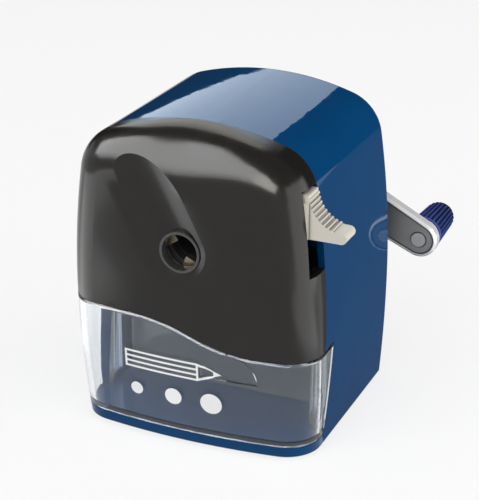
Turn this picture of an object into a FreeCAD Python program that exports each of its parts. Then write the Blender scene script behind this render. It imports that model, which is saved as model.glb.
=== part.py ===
"""Crank pencil sharpener with a drawer, gripping jaws and a planetary cutter head, in millimetres.

The part stands on its feet at z = 0. Its front faces -Y, and the crank turns behind the rear wall at +Y.
The pencil's axis runs along Y at x = 0.
"""
import FreeCAD
import Part

import math
import os
import re

import Sketcher

Vector = FreeCAD.Vector
Rotation = FreeCAD.Rotation

SIZES = {
    # Casing, outside
    "body_width": 85.0,
    "base_width": 81.7,
    "widest_height": 41.0,
    "body_height": 107.0,
    "crown_radius": 92.0,
    "flank_radius": 314.0,
    "shoulder_radius": 15.4,
    "body_depth": 73.2,
    "face_reach": 5.6,
    "face_reach_height": 92.0,
    "plan_radius": 215.0,
    "corner_radius": 12.0,
    "crown_edge_radius": 19.0,
    "side_draft": 0.8,
    "top_draft": 1.4,
    "rear_edge_radius": 1.3,
    # Casing, walls and joints
    "wall": 2.2,
    "cover_depth": 13.0,
    "band_height": 4.2,
    "foot_height": 0.8,
    "floor_thickness": 2.2,
    "rim_width": 3.0,
    "foot_radius": 4.5,
    "foot_spacing_x": 58.0,
    "foot_spacing_y": 46.0,
    "tongue_reach": 4.0,
    "tongue_wall": 1.4,
    "tongue_clearance": 0.15,
    "tongue_bottom": 50.0,
    # Drawer
    "wave_high": 45.2,
    "wave_low": 36.0,
    "wave_start": -18.6,
    "wave_run": 44.0,
    "drawer_gap": 0.3,
    "drawer_wall": 1.8,
    "drawer_side_gap": 0.6,
    "side_lip_depth": 16.2,
    "side_lip_slope": 0.137,
    "drawer_depth": 33.5,
    "drawer_back_height": 33.0,
    "grip_x": 15.5,
    "grip_height": 26.5,
    "grip_radius": 9.5,
    "grip_depth": 0.7,
    # Wall and slope behind the drawer
    "chute_gap": 0.4,
    "chute_wall": 1.6,
    "chute_rise": 9.0,
    # Pencil inlet
    "axis_height": 69.2,
    "inlet_bore": 12.0,
    "inlet_rim": 0.85,
    "inlet_flange": 2.2,
    "inlet_flange_thickness": 1.0,
    "inlet_fit": 0.05,
    "scoop_radius": 20.0,
    "scoop_depth": 2.4,
    "scoop_tilt": 28.6,
    # Lever and its notch
    "notch_bottom": 64.3,
    "notch_top": 92.4,
    "notch_depth": 9.6,
    "lever_side_gap": 0.9,
    "lever_top": 91.3,
    "lever_bottom": 77.2,
    "lever_root_x": 36.8,
    "lever_crest_x": 39.2,
    "lever_tip_x": 51.6,
    "lever_tip_height": 80.7,
    "lever_tip_start": 48.4,
    "lever_scoop_bulge": 2.6,
    "lever_swing": 16.0,
    "rib_count": 9,
    "rib_radius": 0.45,
    "arm_root_width": 9.0,
    # Jaws and cam ring
    "mechanism_setback": 6.2,
    "slide_gap": 0.25,
    "ring_thickness": 2.5,
    "cam_ring_radius": 14.6,
    "jaw_thickness": 2.5,
    "jaw_pivot_radius": 16.6,
    "jaw_first_angle": 85.0,
    "jaw_grip_radius": 3.0,
    "jaw_open_radius": 6.6,
    "jaw_length": 15.0,
    "jaw_width": 5.0,
    "jaw_nose": 2.0,
    "jaw_boss_radius": 2.6,
    "jaw_pin_radius": 1.25,
    "jaw_pin_head_radius": 2.4,
    "jaw_stud_radius": 1.0,
    "jaw_stud_along": 6.6,
    "jaw_stud_aside": 3.0,
    "stud_slot_gap": 0.3,
    # Bearing plate, ring gear and screws
    "plate_thickness": 3.0,
    "plate_half_width": 30.0,
    "plate_half_height": 22.6,
    "plate_corner_radius": 4.5,
    "spigot_radius": 8.4,
    "spigot_bore": 12.6,
    "journal_radius": 9.0,
    "journal_depth": 2.0,
    "run_gap": 0.05,
    "screw_x": 25.8,
    "screw_z": 18.4,
    "screw_radius": 1.3,
    "screw_length": 14.0,
    "screw_head_radius": 2.7,
    "screw_head_height": 1.8,
    "screw_slot_width": 0.8,
    "boss_radius": 3.4,
    "gear_flange": 2.6,
    "gear_rim": 3.4,
    # Cutter head
    "cone_angle": 11.5,
    "ring_teeth": 36,
    "pinion_teeth": 10,
    "gear_face": 6.0,
    "point_distance": 42.4,
    "guide_bore": 12.4,
    "head_gap": 0.4,
    "carrier_disc": 3.2,
    "carrier_disc_radius": 18.4,
    "pinion_gap": 1.9,
    "cutter_radius": 7.0,
    "cutter_gap": 1.3,
    "cutter_length": 31.0,
    "cutter_teeth": 16,
    "cutter_tooth_depth": 1.1,
    "cutter_twist": 110.0,
    "axle_radius": 2.0,
    "web_outer_radius": 13.4,
    "web_inner_radius": 9.6,
    "hub_gap": 2.0,
    "hub_length": 6.0,
    "hub_tail_radius": 7.5,
    "hub_tail_length": 7.0,
    # Crank
    "shaft_radius": 4.0,
    "clip_groove_radius": 3.2,
    "clip_width": 0.8,
    "clip_radius": 6.2,
    "clip_mouth": 4.4,
    "bush_wall": 2.4,
    "bush_flange": 2.4,
    "bush_flange_thickness": 1.2,
    "rear_boss_radius": 10.4,
    "rear_boss_length": 6.0,
    "collar_radius": 8.0,
    "collar_gap": 0.6,
    "arm_setback": 13.4,
    "arm_thickness": 4.5,
    "arm_hub_radius": 8.5,
    "arm_end_radius": 6.5,
    "arm_chamfer": 0.8,
    "arm_panel_margin": 1.1,
    "arm_panel_depth": 0.3,
    "crank_radius": 53.0,
    "crank_angle": 25.9,
    "crank_screw_head_radius": 4.6,
    "crank_screw_head_height": 2.6,
    "crank_screw_chamfer": 0.78,
    "crank_screw_radius": 2.0,
    "crank_screw_length": 12.0,
    "hex_recess": 1.5,
    # Knob
    "rivet_radius": 2.0,
    "rivet_head_radius": 2.5,
    "rivet_head_height": 0.5,
    "rivet_collar_radius": 2.6,
    "rivet_collar_length": 1.0,
    "washer_radius": 5.9,
    "washer_thickness": 0.5,
    "knob_gap": 0.2,
    "knob_length": 20.5,
    "knob_base_radius": 6.2,
    "knob_end_radius": 5.2,
    "knob_end_rounding": 2.4,
    "knob_flutes": 24,
    "knob_flute_depth": 0.5,
    "knob_cap": 2.6,
    "knob_band": 1.2,
    # Lever return spring
    "spring_wire_radius": 0.3,
    "spring_coil_radius": 1.8,
    "spring_turns": 9,
    "spring_x": 19.6,
    "spring_length": 13.0,
    "post_radius": 1.2,
}

# Places along Y and Z that several pieces share, in the sheet's names
FRONT = "(-body_depth / 2)"
REAR = "(body_depth / 2)"
SEAM = f"({FRONT} + cover_depth)"
LEAN_RADIUS = "((face_reach_height^2 + face_reach^2) / (2 * face_reach))"
FACE_AT_AXIS = (
    f"({FRONT} - face_reach + {LEAN_RADIUS}"
    f" - sqrt({LEAN_RADIUS}^2 - (face_reach_height - axis_height)^2))"
)
SCOOP_CENTRE = f"({FACE_AT_AXIS} + scoop_depth - scoop_radius)"
INLET_HOLE = "(inlet_bore / 2 + inlet_rim + inlet_fit)"
INLET_SEAT = f"({SCOOP_CENTRE} + sqrt((scoop_radius + wall)^2 - {INLET_HOLE}^2))"
INLET_LIP = f"({SCOOP_CENTRE} + sqrt(scoop_radius^2 - {INLET_HOLE}^2))"
PLATE_FRONT = f"({FRONT} + mechanism_setback)"
PLATE_REAR = f"({PLATE_FRONT} + plate_thickness)"
RING_FRONT = f"({PLATE_FRONT} - slide_gap - ring_thickness)"
JAW_FRONT = f"({RING_FRONT} - slide_gap - jaw_thickness)"
DISC_FRONT = f"({PLATE_REAR} + head_gap)"
DISC_REAR = f"({DISC_FRONT} + carrier_disc)"
APEX = f"({PLATE_FRONT} + point_distance + cutter_radius / sin(cone_angle))"
PINION_REACH = f"(({APEX} - {DISC_REAR} - pinion_gap) / cos(cone_angle))"
CUTTER_REACH = f"({PINION_REACH} - gear_face - cutter_gap)"
CUTTER_END = f"({CUTTER_REACH} - cutter_length)"
HUB_FRONT = f"({APEX} - {CUTTER_END} * cos(cone_angle) + hub_gap)"
TAIL_FRONT = f"({HUB_FRONT} + hub_length)"
BUSH_RADIUS = "(shaft_radius + run_gap + bush_wall)"
WALL_INSIDE = f"({REAR} - wall)"
BOSS_END = f"({REAR} + rear_boss_length)"
ARM_FRONT = f"({REAR} + arm_setback)"
ARM_REAR = f"({ARM_FRONT} + arm_thickness)"
KNOB_FRONT = f"({ARM_REAR} + washer_thickness + knob_gap)"
BAY_FLOOR = "(band_height + drawer_gap)"
DRAWER_REAR = f"({FRONT} + drawer_depth)"
SPRING_FOOT = "(axis_height - 2 * post_radius - slide_gap - spring_wire_radius - spring_length)"
POST_HEIGHT = f"({SPRING_FOOT} - spring_wire_radius - slide_gap - post_radius)"

# Gear teeth: heights above and below the pitch cone in modules, and half widths as shares of the pitch
PINION_TIP = 0.8
PINION_ROOT = 1.05
RING_TIP = 0.7
RING_ROOT = 1.05
TOOTH_FOOT_SHARE = 0.36
PINION_TIP_SHARE = 0.11
RING_SPACE_SHARE = 0.14

# Cutter teeth: half widths as shares of the pitch, and the outlines that carry the twist
CUTTER_FOOT_SHARE = 0.3
CUTTER_TIP_SHARE = 0.1
CUTTER_STEPS = 5

# Points on each turn of a coil where its gap is measured
COIL_POINTS = 24

# Two places nearer than this count as one, and a face whose normal reaches this share points along an axis
NEAR = 0.05
SQUARE_ON = 0.9

doc = FreeCAD.newDocument("pencil_sharpener")
sheet = doc.addObject("Spreadsheet::Sheet", "Dims")
PIECES = []


def fill_sheet():
    """Write each driving dimension to its own row, with its name as the alias."""
    for row, (name, number) in enumerate(SIZES.items(), start=1):
        sheet.set(f"A{row}", name)
        sheet.set(f"B{row}", str(number))
        sheet.setAlias(f"B{row}", name)
    doc.recompute()


def size(text):
    """Work out an expression in the sheet's names."""
    return float(sheet.evalExpression(str(text)))


def linked(text):
    """The same expression as other objects write it, with the sheet's name before each alias."""
    return re.sub(r"[a-z_]+", lambda word: "Dims." * (word.group() in SIZES) + word.group(), str(text))


def bind(item, path, text):
    """Bind one property of an object to the sheet."""
    item.setExpression(path, linked(text))


def place(item, x="0", y="0", z="0"):
    """Bind an object's position."""
    bind(item, "Placement.Base.x", x)
    bind(item, "Placement.Base.y", y)
    bind(item, "Placement.Base.z", z)
    return item


def turn(item, axis, angle):
    """Bind an object's rotation about one axis."""
    item.Placement.Rotation = Rotation(axis, size(angle))
    bind(item, "Placement.Rotation.Angle", angle)
    return item


def face_rear(item):
    """Lay an object's own Z axis along +Y."""
    item.Placement.Rotation = Rotation(Vector(1, 0, 0), -90)
    return item


def box(name, x, y, z, along_x, along_y, along_z):
    item = doc.addObject("Part::Box", name)
    bind(item, "Length", along_x)
    bind(item, "Width", along_y)
    bind(item, "Height", along_z)
    return place(item, x, y, z)


def rod(name, radius, x, y, z, length):
    """A cylinder along +Y."""
    item = face_rear(doc.addObject("Part::Cylinder", name))
    bind(item, "Radius", radius)
    bind(item, "Height", length)
    return place(item, x, y, z)


def post(name, radius, x, y, z, height):
    """A cylinder along +Z."""
    item = doc.addObject("Part::Cylinder", name)
    bind(item, "Radius", radius)
    bind(item, "Height", height)
    return place(item, x, y, z)


def fuse(name, *items):
    item = doc.addObject("Part::MultiFuse", name)
    item.Shapes = list(items)
    item.Refine = True
    return item


def common(name, first, second):
    item = doc.addObject("Part::Common", name)
    item.Base = first
    item.Tool = second
    return item


def cut(name, base, *tools):
    """Take each tool in turn from the base."""
    for count, tool in enumerate(tools, start=1):
        item = doc.addObject("Part::Cut", name if count == len(tools) else f"{name}_step_{count}")
        item.Base = base
        item.Tool = tool
        base = item
    return base


def fixed(name, shape):
    """An object whose shape is worked out here from the sheet's sizes."""
    item = doc.addObject("Part::Feature", name)
    item.Shape = shape
    return item


def piece(label, item):
    """Name a finished sub-part."""
    item.Label = label
    PIECES.append(item)
    return item


def locate(sketch, geometry, point, x, y):
    """Hold one point of a sketch at a place given in the sheet's names."""
    for kind, text in (("DistanceX", x), ("DistanceY", y)):
        constraint = Sketcher.Constraint(kind, -1, 1, geometry, point, size(text))
        number = sketch.addConstraint(constraint)
        bind(sketch, f"Constraints[{number}]", text)


def outline(sketch, corners):
    """Draw a closed outline. A corner with a third entry starts an arc through that point."""
    ends = corners[1:] + corners[:1]
    spots = []
    for corner, end in zip(corners, ends):
        start_point = Vector(size(corner[0]), size(corner[1]), 0)
        end_point = Vector(size(end[0]), size(end[1]), 0)
        if len(corner) == 2:
            spots.append((sketch.addGeometry(Part.LineSegment(start_point, end_point)), 1, 2))
            continue
        through = Vector(size(corner[2][0]), size(corner[2][1]), 0)
        circle = Part.Circle(start_point, through, end_point)
        round_it = Part.Circle(circle.Center, Vector(0, 0, 1), circle.Radius)
        first, last = round_it.parameter(start_point), round_it.parameter(end_point)
        # A sketch counts its arcs anticlockwise, so an arc that runs the other way is drawn from its end
        anticlockwise = (through - start_point).cross(end_point - through).z > 0
        if anticlockwise:
            arc = Part.ArcOfCircle(round_it, first, last)
            spots.append((sketch.addGeometry(arc), 1, 2))
        else:
            arc = Part.ArcOfCircle(round_it, last, first)
            spots.append((sketch.addGeometry(arc), 2, 1))
    for (number, start, _), corner in zip(spots, corners):
        locate(sketch, number, start, corner[0], corner[1])
    for (number, _, last), (following, first, _) in zip(spots, spots[1:] + spots[:1]):
        sketch.addConstraint(Sketcher.Constraint("Coincident", number, last, following, first))
    for (number, _, _), corner in zip(spots, corners):
        if len(corner) == 3:
            through = Part.Point(Vector(size(corner[2][0]), size(corner[2][1]), 0))
            mark = sketch.addGeometry(through, True)
            locate(sketch, mark, 1, corner[2][0], corner[2][1])
            sketch.addConstraint(Sketcher.Constraint("PointOnObject", mark, 1, number))


def new_sketch(body, role, name):
    """A sketch on one of the body's own origin planes."""
    sketch = body.newObject("Sketcher::SketchObject", name)
    plane = next(feature for feature in body.Origin.OriginFeatures if feature.Role == role)
    sketch.AttachmentSupport = [(plane, "")]
    sketch.MapMode = "FlatFace"
    return sketch


def prism(name, corners, length, plane="XZ_Plane", centred=False):
    """A body padded from one outline: towards +Y from the XZ plane, or along X from the YZ plane."""
    body = doc.addObject("PartDesign::Body", name)
    sketch = new_sketch(body, plane, f"{name}_outline")
    outline(sketch, corners)
    pad = body.newObject("PartDesign::Pad", f"{name}_pad")
    pad.Profile = sketch
    bind(pad, "Length", length)
    pad.Midplane = centred
    pad.Reversed = plane == "XZ_Plane" and not centred
    return body


def turned(name, corners):
    """A body turned about its own Z axis, which lies along +Y. Corners are radius and height."""
    body = doc.addObject("PartDesign::Body", name)
    sketch = new_sketch(body, "XZ_Plane", f"{name}_profile")
    outline(sketch, corners)
    spin = body.newObject("PartDesign::Revolution", f"{name}_spin")
    spin.Profile = sketch
    spin.ReferenceAxis = (sketch, ["V_Axis"])
    spin.Angle = 360
    return face_rear(body)


# Casing


def mirrored(point):
    return Vector(-point.x, point.y, point.z)


def arc_round(centre, radius, start, end):
    """The shorter arc round a centre from one point to another."""
    middle = (start + end) * 0.5 - centre
    return Part.Arc(start, centre + middle * (radius / middle.Length), end).toShape()


def casing_section(y, half_width, top, inset, bottom):
    """The casing's outline in a plane across Y, drawn in by inset: flat below, bowed sides, arched crown."""
    widest = size("widest_height")
    narrowing = size("(body_width - base_width) / 2")
    low_radius = (widest**2 + narrowing**2) / (2 * narrowing)
    flank, crown, shoulder = size("flank_radius"), size("crown_radius"), size("shoulder_radius")
    low_centre = Vector(half_width - low_radius, y, widest)
    flank_centre = Vector(half_width - flank, y, widest)
    crown_centre = Vector(0, y, top - crown)
    # The shoulder's centre keeps the shoulder tangent to the flank and to the crown
    span = flank_centre - crown_centre
    along = ((crown - shoulder) ** 2 - (flank - shoulder) ** 2 + span.Length**2) / (2 * span.Length)
    aside = math.sqrt((crown - shoulder) ** 2 - along**2)
    unit = span * (1 / span.Length)
    across = Vector(-unit.z, 0, unit.x)
    shoulder_centre = crown_centre + unit * along + across * math.copysign(aside, across.z)
    foot = Vector(low_centre.x + math.sqrt((low_radius - inset) ** 2 - (widest - bottom) ** 2), y, bottom)
    widest_point = Vector(half_width - inset, y, widest)
    to_flank = shoulder_centre - flank_centre
    to_crown = shoulder_centre - crown_centre
    flank_end = flank_centre + to_flank * ((flank - inset) / to_flank.Length)
    crown_end = crown_centre + to_crown * ((crown - inset) / to_crown.Length)
    peak = Vector(0, y, top - inset)
    right = [
        arc_round(low_centre, low_radius - inset, foot, widest_point),
        arc_round(flank_centre, flank - inset, widest_point, flank_end),
        arc_round(shoulder_centre, shoulder - inset, flank_end, crown_end),
        arc_round(crown_centre, crown - inset, crown_end, peak),
    ]
    left = [
        arc_round(crown_centre, crown - inset, peak, mirrored(crown_end)),
        arc_round(mirrored(shoulder_centre), shoulder - inset, mirrored(crown_end), mirrored(flank_end)),
        arc_round(mirrored(flank_centre), flank - inset, mirrored(flank_end), mirrored(widest_point)),
        arc_round(mirrored(low_centre), low_radius - inset, mirrored(widest_point), mirrored(foot)),
    ]
    base = Part.LineSegment(mirrored(foot), foot).toShape()
    return Part.Wire([base] + right + left)


def casing_sleeve(inset, bottom):
    """The casing's length, narrowing to the rear by its draft and running on past the front."""
    half_width, top = size("body_width / 2"), size("body_height")
    seam, rear = size(SEAM), size(REAR)
    start = size(f"{FRONT} - face_reach - shoulder_radius")
    share = (start - seam) / (rear - seam)
    side_draft, top_draft = size("side_draft"), size("top_draft")
    first = casing_section(start, half_width - side_draft * share, top - top_draft * share, inset, bottom)
    last = casing_section(rear - inset, half_width - side_draft, top - top_draft, inset, bottom)
    return Part.makeLoft([first, last], True, True)


def casing_face(inset):
    """A block behind the bowed, leaning front face: its leaning arc turned about a far upright axis."""
    lean = size(LEAN_RADIUS)
    reach_height = size("face_reach_height")
    centre_y = size(f"{FRONT} - face_reach") + lean
    low, high = -size("body_height"), size("2 * body_height")
    back = size("body_depth")

    def on_face(z):
        return Vector(0, centre_y - math.sqrt((lean - inset) ** 2 - (z - reach_height) ** 2), z)

    corners = [on_face(low), on_face(high), Vector(0, back, high), Vector(0, back, low)]
    edges = [
        Part.Arc(corners[0], on_face((low + high) / 2), corners[1]).toShape(),
        Part.LineSegment(corners[1], corners[2]).toShape(),
        Part.LineSegment(corners[2], corners[3]).toShape(),
        Part.LineSegment(corners[3], corners[0]).toShape(),
    ]
    profile = Part.Face(Part.Wire(edges))
    axis = Vector(0, size(f"plan_radius + {FRONT}"), 0)
    sweep = 2 * math.degrees(math.asin(size("body_width / plan_radius")))
    profile.rotate(axis, Vector(0, 0, 1), -sweep / 2)
    return profile.revolve(axis, Vector(0, 0, 1), sweep)


def casing_form(name, inset, bottom):
    """The casing's whole form, drawn in by inset, with its front edge rounded from crown to corner."""
    inset, bottom = size(inset), size(bottom)
    raw = fixed(f"{name}_raw", casing_sleeve(inset, bottom).common(casing_face(inset)))
    crown_radius = size("crown_edge_radius") - inset
    corner_radius = size("corner_radius") - inset
    rear = size(REAR)
    front_face = min(raw.Shape.Faces, key=lambda face: face.CenterOfMass.y)
    front_edges = [edge.CenterOfMass for edge in front_face.OuterWire.Edges]
    crown_height = size("body_height") - inset
    rounded = []
    for number, edge in enumerate(raw.Shape.Edges, start=1):
        bounds = edge.BoundBox
        level = bounds.ZMax - bounds.ZMin < NEAR and bounds.ZMax < size("widest_height")
        if level:
            continue
        if any(edge.CenterOfMass.isEqual(spot, NEAR) for spot in front_edges):
            first, last = edge.Vertexes[0].Point.z, edge.Vertexes[-1].Point.z
            if bounds.ZMax > crown_height - size("top_draft"):
                radii = (crown_radius, corner_radius) if first > last else (corner_radius, crown_radius)
            else:
                radii = (corner_radius, corner_radius)
            rounded.append((number, *radii))
        elif inset == 0 and bounds.YMin > rear - NEAR:
            rounded.append((number, size("rear_edge_radius"), size("rear_edge_radius")))
    form = doc.addObject("Part::Fillet", name)
    form.Base = raw
    form.Edges = rounded
    return form


def wave_block(name, drop):
    """Everything below the wavy edge, lowered by drop: two level stretches joined by two arcs."""
    high, low = f"(wave_high - {drop})", f"(wave_low - {drop})"
    bend = "((wave_run^2 + (wave_high - wave_low)^2) / (4 * (wave_high - wave_low)))"
    sag = f"({bend} - sqrt({bend}^2 - (wave_run / 4)^2))"
    middle = ("wave_start + wave_run / 2", f"({high} + {low}) / 2")
    corners = [
        ("-body_width", "-wave_low"),
        ("body_width", "-wave_low"),
        ("body_width", low),
        ("wave_start + wave_run", low, ("wave_start + wave_run * 3 / 4", f"{low} + {sag}")),
        (*middle, ("wave_start + wave_run / 4", f"{high} - {sag}")),
        ("wave_start", high),
        ("-body_width", high),
    ]
    block = prism(name, corners, "2 * body_depth")
    return place(block, y=f"{FRONT} - body_depth")


def lip_block(name, gap):
    """The room in front of the leaning rear edge of the drawer's side lips, above the base band."""
    foot = f"(band_height + {gap})"
    edge = f"({FRONT} + side_lip_depth - {gap})"
    corners = [
        (f"{FRONT} - body_depth", foot),
        (edge, foot),
        (f"{edge} + side_lip_slope * (body_height - {foot})", "body_height"),
        (f"{FRONT} - body_depth", "body_height"),
    ]
    return prism(name, corners, "2 * body_width", plane="YZ_Plane", centred=True)


def front_block(name):
    """Everything ahead of the seam and above the base band."""
    depth = f"{SEAM} - {FRONT} + body_depth"
    return box(name, "-body_width", f"{FRONT} - body_depth", "band_height",
               "2 * body_width", depth, "2 * body_height")


def make_housing(casing, cavity):
    bay = common("drawer_bay", wave_block("bay_wave", "0"), lip_block("bay_lip", "0"))
    recess_width = "base_width - 2 * rim_width - 2 * side_draft"
    recess_depth = "body_depth - 2 * rim_width - plan_radius + sqrt(plan_radius^2 - (base_width / 2)^2)"
    recess_rear = f"{REAR} - rim_width"
    recess = box("underside_recess", f"-({recess_width}) / 2", f"{recess_rear} - ({recess_depth})", "0",
                 recess_width, recess_depth, "band_height - floor_thickness")
    boss = rod("rear_boss", "rear_boss_radius", "0", WALL_INSIDE, "axis_height", "wall + rear_boss_length")
    bore = rod("rear_bore", BUSH_RADIUS, "0", f"{WALL_INSIDE} - wall", "axis_height",
               "3 * wall + rear_boss_length")
    shell = cut("housing_shell", casing, cavity, front_block("housing_front"), bay, recess)
    return piece("housing", cut("housing_bored", fuse("housing_bossed", shell, boss), bore))


def make_feet():
    feet = []
    for number, (side, end) in enumerate(((-1, -1), (1, -1), (1, 1), (-1, 1)), start=1):
        foot = post(f"foot_{number}", "foot_radius", f"{side} * foot_spacing_x / 2",
                    f"{end} * foot_spacing_y / 2", "0", "band_height - floor_thickness")
        feet.append(foot)
    return piece("rubber_feet", fuse("feet", *feet))


def scoop_tool(name, radius):
    """The leaning scoop: a large cylinder that runs up and to the left, with a round lower end."""
    ball = place(doc.addObject("Part::Sphere", f"{name}_ball"), "0", SCOOP_CENTRE, "axis_height")
    bind(ball, "Radius", radius)
    run = doc.addObject("Part::Cylinder", f"{name}_run")
    bind(run, "Radius", radius)
    bind(run, "Height", "body_height")
    turn(run, Vector(0, -1, 0), "scoop_tilt")
    place(run, "0", SCOOP_CENTRE, "axis_height")
    return fuse(name, ball, run)


def screw_places():
    return [(f"{side} * screw_x", f"axis_height + {end} * screw_z") for side in (-1, 1) for end in (-1, 1)]


def make_cover(casing, cavity):
    room = cut("cover_room", cavity, scoop_tool("scoop_backing", "(scoop_radius + wall)"))
    below = wave_block("cover_wave", "0")
    shell = cut("cover_shell", common("cover_front", casing, front_block("cover_block")), below, room)
    # The tongue slides into the housing's mouth
    outer = casing_form("tongue_outer", "wall + tongue_clearance", "band_height")
    inner = casing_form("tongue_inner", "wall + tongue_clearance + tongue_wall", "band_height")
    reach = box("tongue_reach_box", "-body_width", f"{SEAM} - tongue_wall", "tongue_bottom",
                "2 * body_width", "tongue_wall + tongue_reach", "body_height")
    root = box("tongue_root_box", "-body_width", f"{SEAM} - 2 * tongue_wall", "tongue_bottom",
               "2 * body_width", "2 * tongue_wall", "body_height")
    tongue = common("tongue", cut("tongue_band", outer, inner), reach)
    tongue_root = common("tongue_root", cut("tongue_root_band", casing, inner), root)
    bosses = []
    for number, (x, z) in enumerate(screw_places(), start=1):
        bosses.append(rod(f"cover_boss_{number}", "boss_radius", x, f"{FRONT} - face_reach", z,
                          "face_reach + mechanism_setback"))
    pillars = common("cover_bosses", fuse("boss_group", *bosses), casing)
    pilots = []
    for number, (x, z) in enumerate(screw_places(), start=1):
        pilots.append(rod(f"pilot_{number}", "screw_radius", x,
                          f"{PLATE_REAR} + gear_flange - screw_length", z, "screw_length"))
    hole = rod("inlet_hole", INLET_HOLE, "0", f"{FRONT} - 2 * face_reach", "axis_height",
               "3 * face_reach + wall")
    seat = rod("inlet_flange_seat", f"{INLET_HOLE} + inlet_flange + inlet_fit", "0", INLET_SEAT,
               "axis_height", "face_reach")
    notch = box("lever_notch", "plate_half_width + slide_gap", f"{SEAM} - notch_depth", "notch_bottom",
                "body_width / 2", "notch_depth + 2 * tongue_reach", "notch_top - notch_bottom")
    solid = fuse("cover_solid", shell, tongue, tongue_root, pillars)
    finished = cut("cover_cut", solid, scoop_tool("scoop", "scoop_radius"), hole, seat, notch,
                   fuse("pilots", *pilots))
    return piece("front_cover", finished)


def make_drawer(casing):
    front_room = common("drawer_wave_room", wave_block("drawer_wave", "drawer_gap"),
                        lip_block("drawer_lip", "drawer_gap"))
    front = common("drawer_front", casing, front_room)
    inner = casing_form("drawer_inner", "drawer_wall", f"{BAY_FLOOR} + drawer_wall")
    hollow = common("drawer_front_hollow", inner, lip_block("drawer_hollow", "drawer_gap + drawer_wall"))
    half = "(base_width / 2 - wall - side_draft - drawer_side_gap)"
    start = f"({FRONT} + corner_radius)"
    tray = box("drawer_tray", f"-{half}", start, BAY_FLOOR, f"2 * {half}", f"{DRAWER_REAR} - {start}",
               f"drawer_back_height - {BAY_FLOOR}")
    tray_hollow = box("drawer_tray_hollow", f"-{half} + drawer_wall", start, f"{BAY_FLOOR} + drawer_wall",
                      f"2 * {half} - 2 * drawer_wall", f"{DRAWER_REAR} - {start} - drawer_wall",
                      "body_height")
    grip_skin = cut("grip_skin", casing, casing_form("grip_floor", "grip_depth", "foot_height"))
    grip_round = rod("grip_round", "grip_radius", "grip_x", f"{FRONT} - body_depth", "grip_height",
                     "body_depth")
    grip_top = box("grip_top", "grip_x - grip_radius", f"{FRONT} - body_depth", "grip_height",
                   "2 * grip_radius", "2 * body_depth", "2 * grip_radius")
    grip = common("grip", grip_skin, common("grip_arch", grip_round, grip_top))
    solid = fuse("drawer_solid", front, tray)
    return piece("drawer", cut("drawer_cut", solid, hollow, tray_hollow, grip))


def make_chute():
    """The upright wall behind the drawer and the slope above it that sends shavings forward."""
    half = "(base_width / 2 - wall - side_draft - drawer_side_gap)"
    foot_y = f"({DRAWER_REAR} + chute_gap)"
    ledge = "(drawer_back_height + chute_gap)"
    corners = [
        (foot_y, "band_height"),
        (f"{foot_y} + chute_wall", "band_height"),
        (f"{foot_y} + chute_wall", ledge),
        (WALL_INSIDE, f"{ledge} + chute_rise"),
        (WALL_INSIDE, f"{ledge} + chute_rise + chute_wall"),
        (foot_y, f"{ledge} + chute_wall"),
    ]
    return piece("shavings_chute", prism("chute", corners, f"2 * {half}", plane="YZ_Plane", centred=True))


def make_inlet_ring():
    """The rim that shows in the scoop, with a flange behind the cover's wall."""
    bore = "inlet_bore / 2"
    rim = "inlet_bore / 2 + inlet_rim"
    length = f"({INLET_SEAT} - {INLET_LIP} + inlet_fit)"
    corners = [
        (bore, "-inlet_rim / 2"),
        (rim, "-inlet_rim / 2"),
        (rim, length),
        (f"{rim} + inlet_flange", length),
        (f"{rim} + inlet_flange", f"{length} + inlet_flange_thickness"),
        (bore, f"{length} + inlet_flange_thickness"),
    ]
    return piece("inlet_ring", place(turned("inlet", corners), "0", INLET_LIP, "axis_height"))


# Jaws, lever and bearing plate


def jaw_angles():
    return [size("jaw_first_angle") + 120 * number for number in range(3)]


def closed_angle():
    """Angle between a closed jaw's gripping edge and the line from its pivot to the pencil's axis."""
    return math.degrees(math.asin(size("jaw_grip_radius / jaw_pivot_radius")))


def jaw_opening():
    """How far a jaw turns to let the widest pencil pass."""
    return math.degrees(math.asin(size("jaw_open_radius / jaw_pivot_radius"))) - closed_angle()


def pivot_place(angle):
    """A pivot's place as text, at an angle round the pencil's axis."""
    return f"jaw_pivot_radius * cos({angle})", f"axis_height + jaw_pivot_radius * sin({angle})"


def make_jaw(number, angle):
    """A flat jaw that swings on its pin. Its straight edge grips and its stud follows the cam ring."""
    boss = "jaw_boss_radius"
    corners = [
        ("0", boss, (f"-{boss}", "0")),
        ("0", f"-{boss}"),
        (f"{boss}", "0"),
        ("jaw_length", "0"),
        ("jaw_length", "jaw_width - jaw_nose"),
        ("jaw_length - jaw_nose", "jaw_width"),
        ("jaw_stud_along - jaw_stud_radius", "jaw_width"),
    ]
    leaf = prism(f"jaw_leaf_{number}", corners, "jaw_thickness")
    x, z = pivot_place(angle)
    direction = f"({angle} + 180 + asin(jaw_grip_radius / jaw_pivot_radius) / (1 deg))"
    turn(leaf, Vector(0, -1, 0), direction)
    place(leaf, x, JAW_FRONT, z)
    hole = rod(f"jaw_hole_{number}", "jaw_pin_radius + run_gap", x, f"{JAW_FRONT} - jaw_thickness", z,
               "3 * jaw_thickness")
    stud_x = f"{x} + jaw_stud_along * cos({direction}) - jaw_stud_aside * sin({direction})"
    stud_z = f"{z} + jaw_stud_along * sin({direction}) + jaw_stud_aside * cos({direction})"
    stud = rod(f"jaw_stud_{number}", "jaw_stud_radius", stud_x, f"{JAW_FRONT} + jaw_thickness / 2", stud_z,
               "jaw_thickness / 2 + ring_thickness")
    return piece(f"jaw_{number}", cut(f"jaw_cut_{number}", fuse(f"jaw_solid_{number}", leaf, stud), hole))


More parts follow.
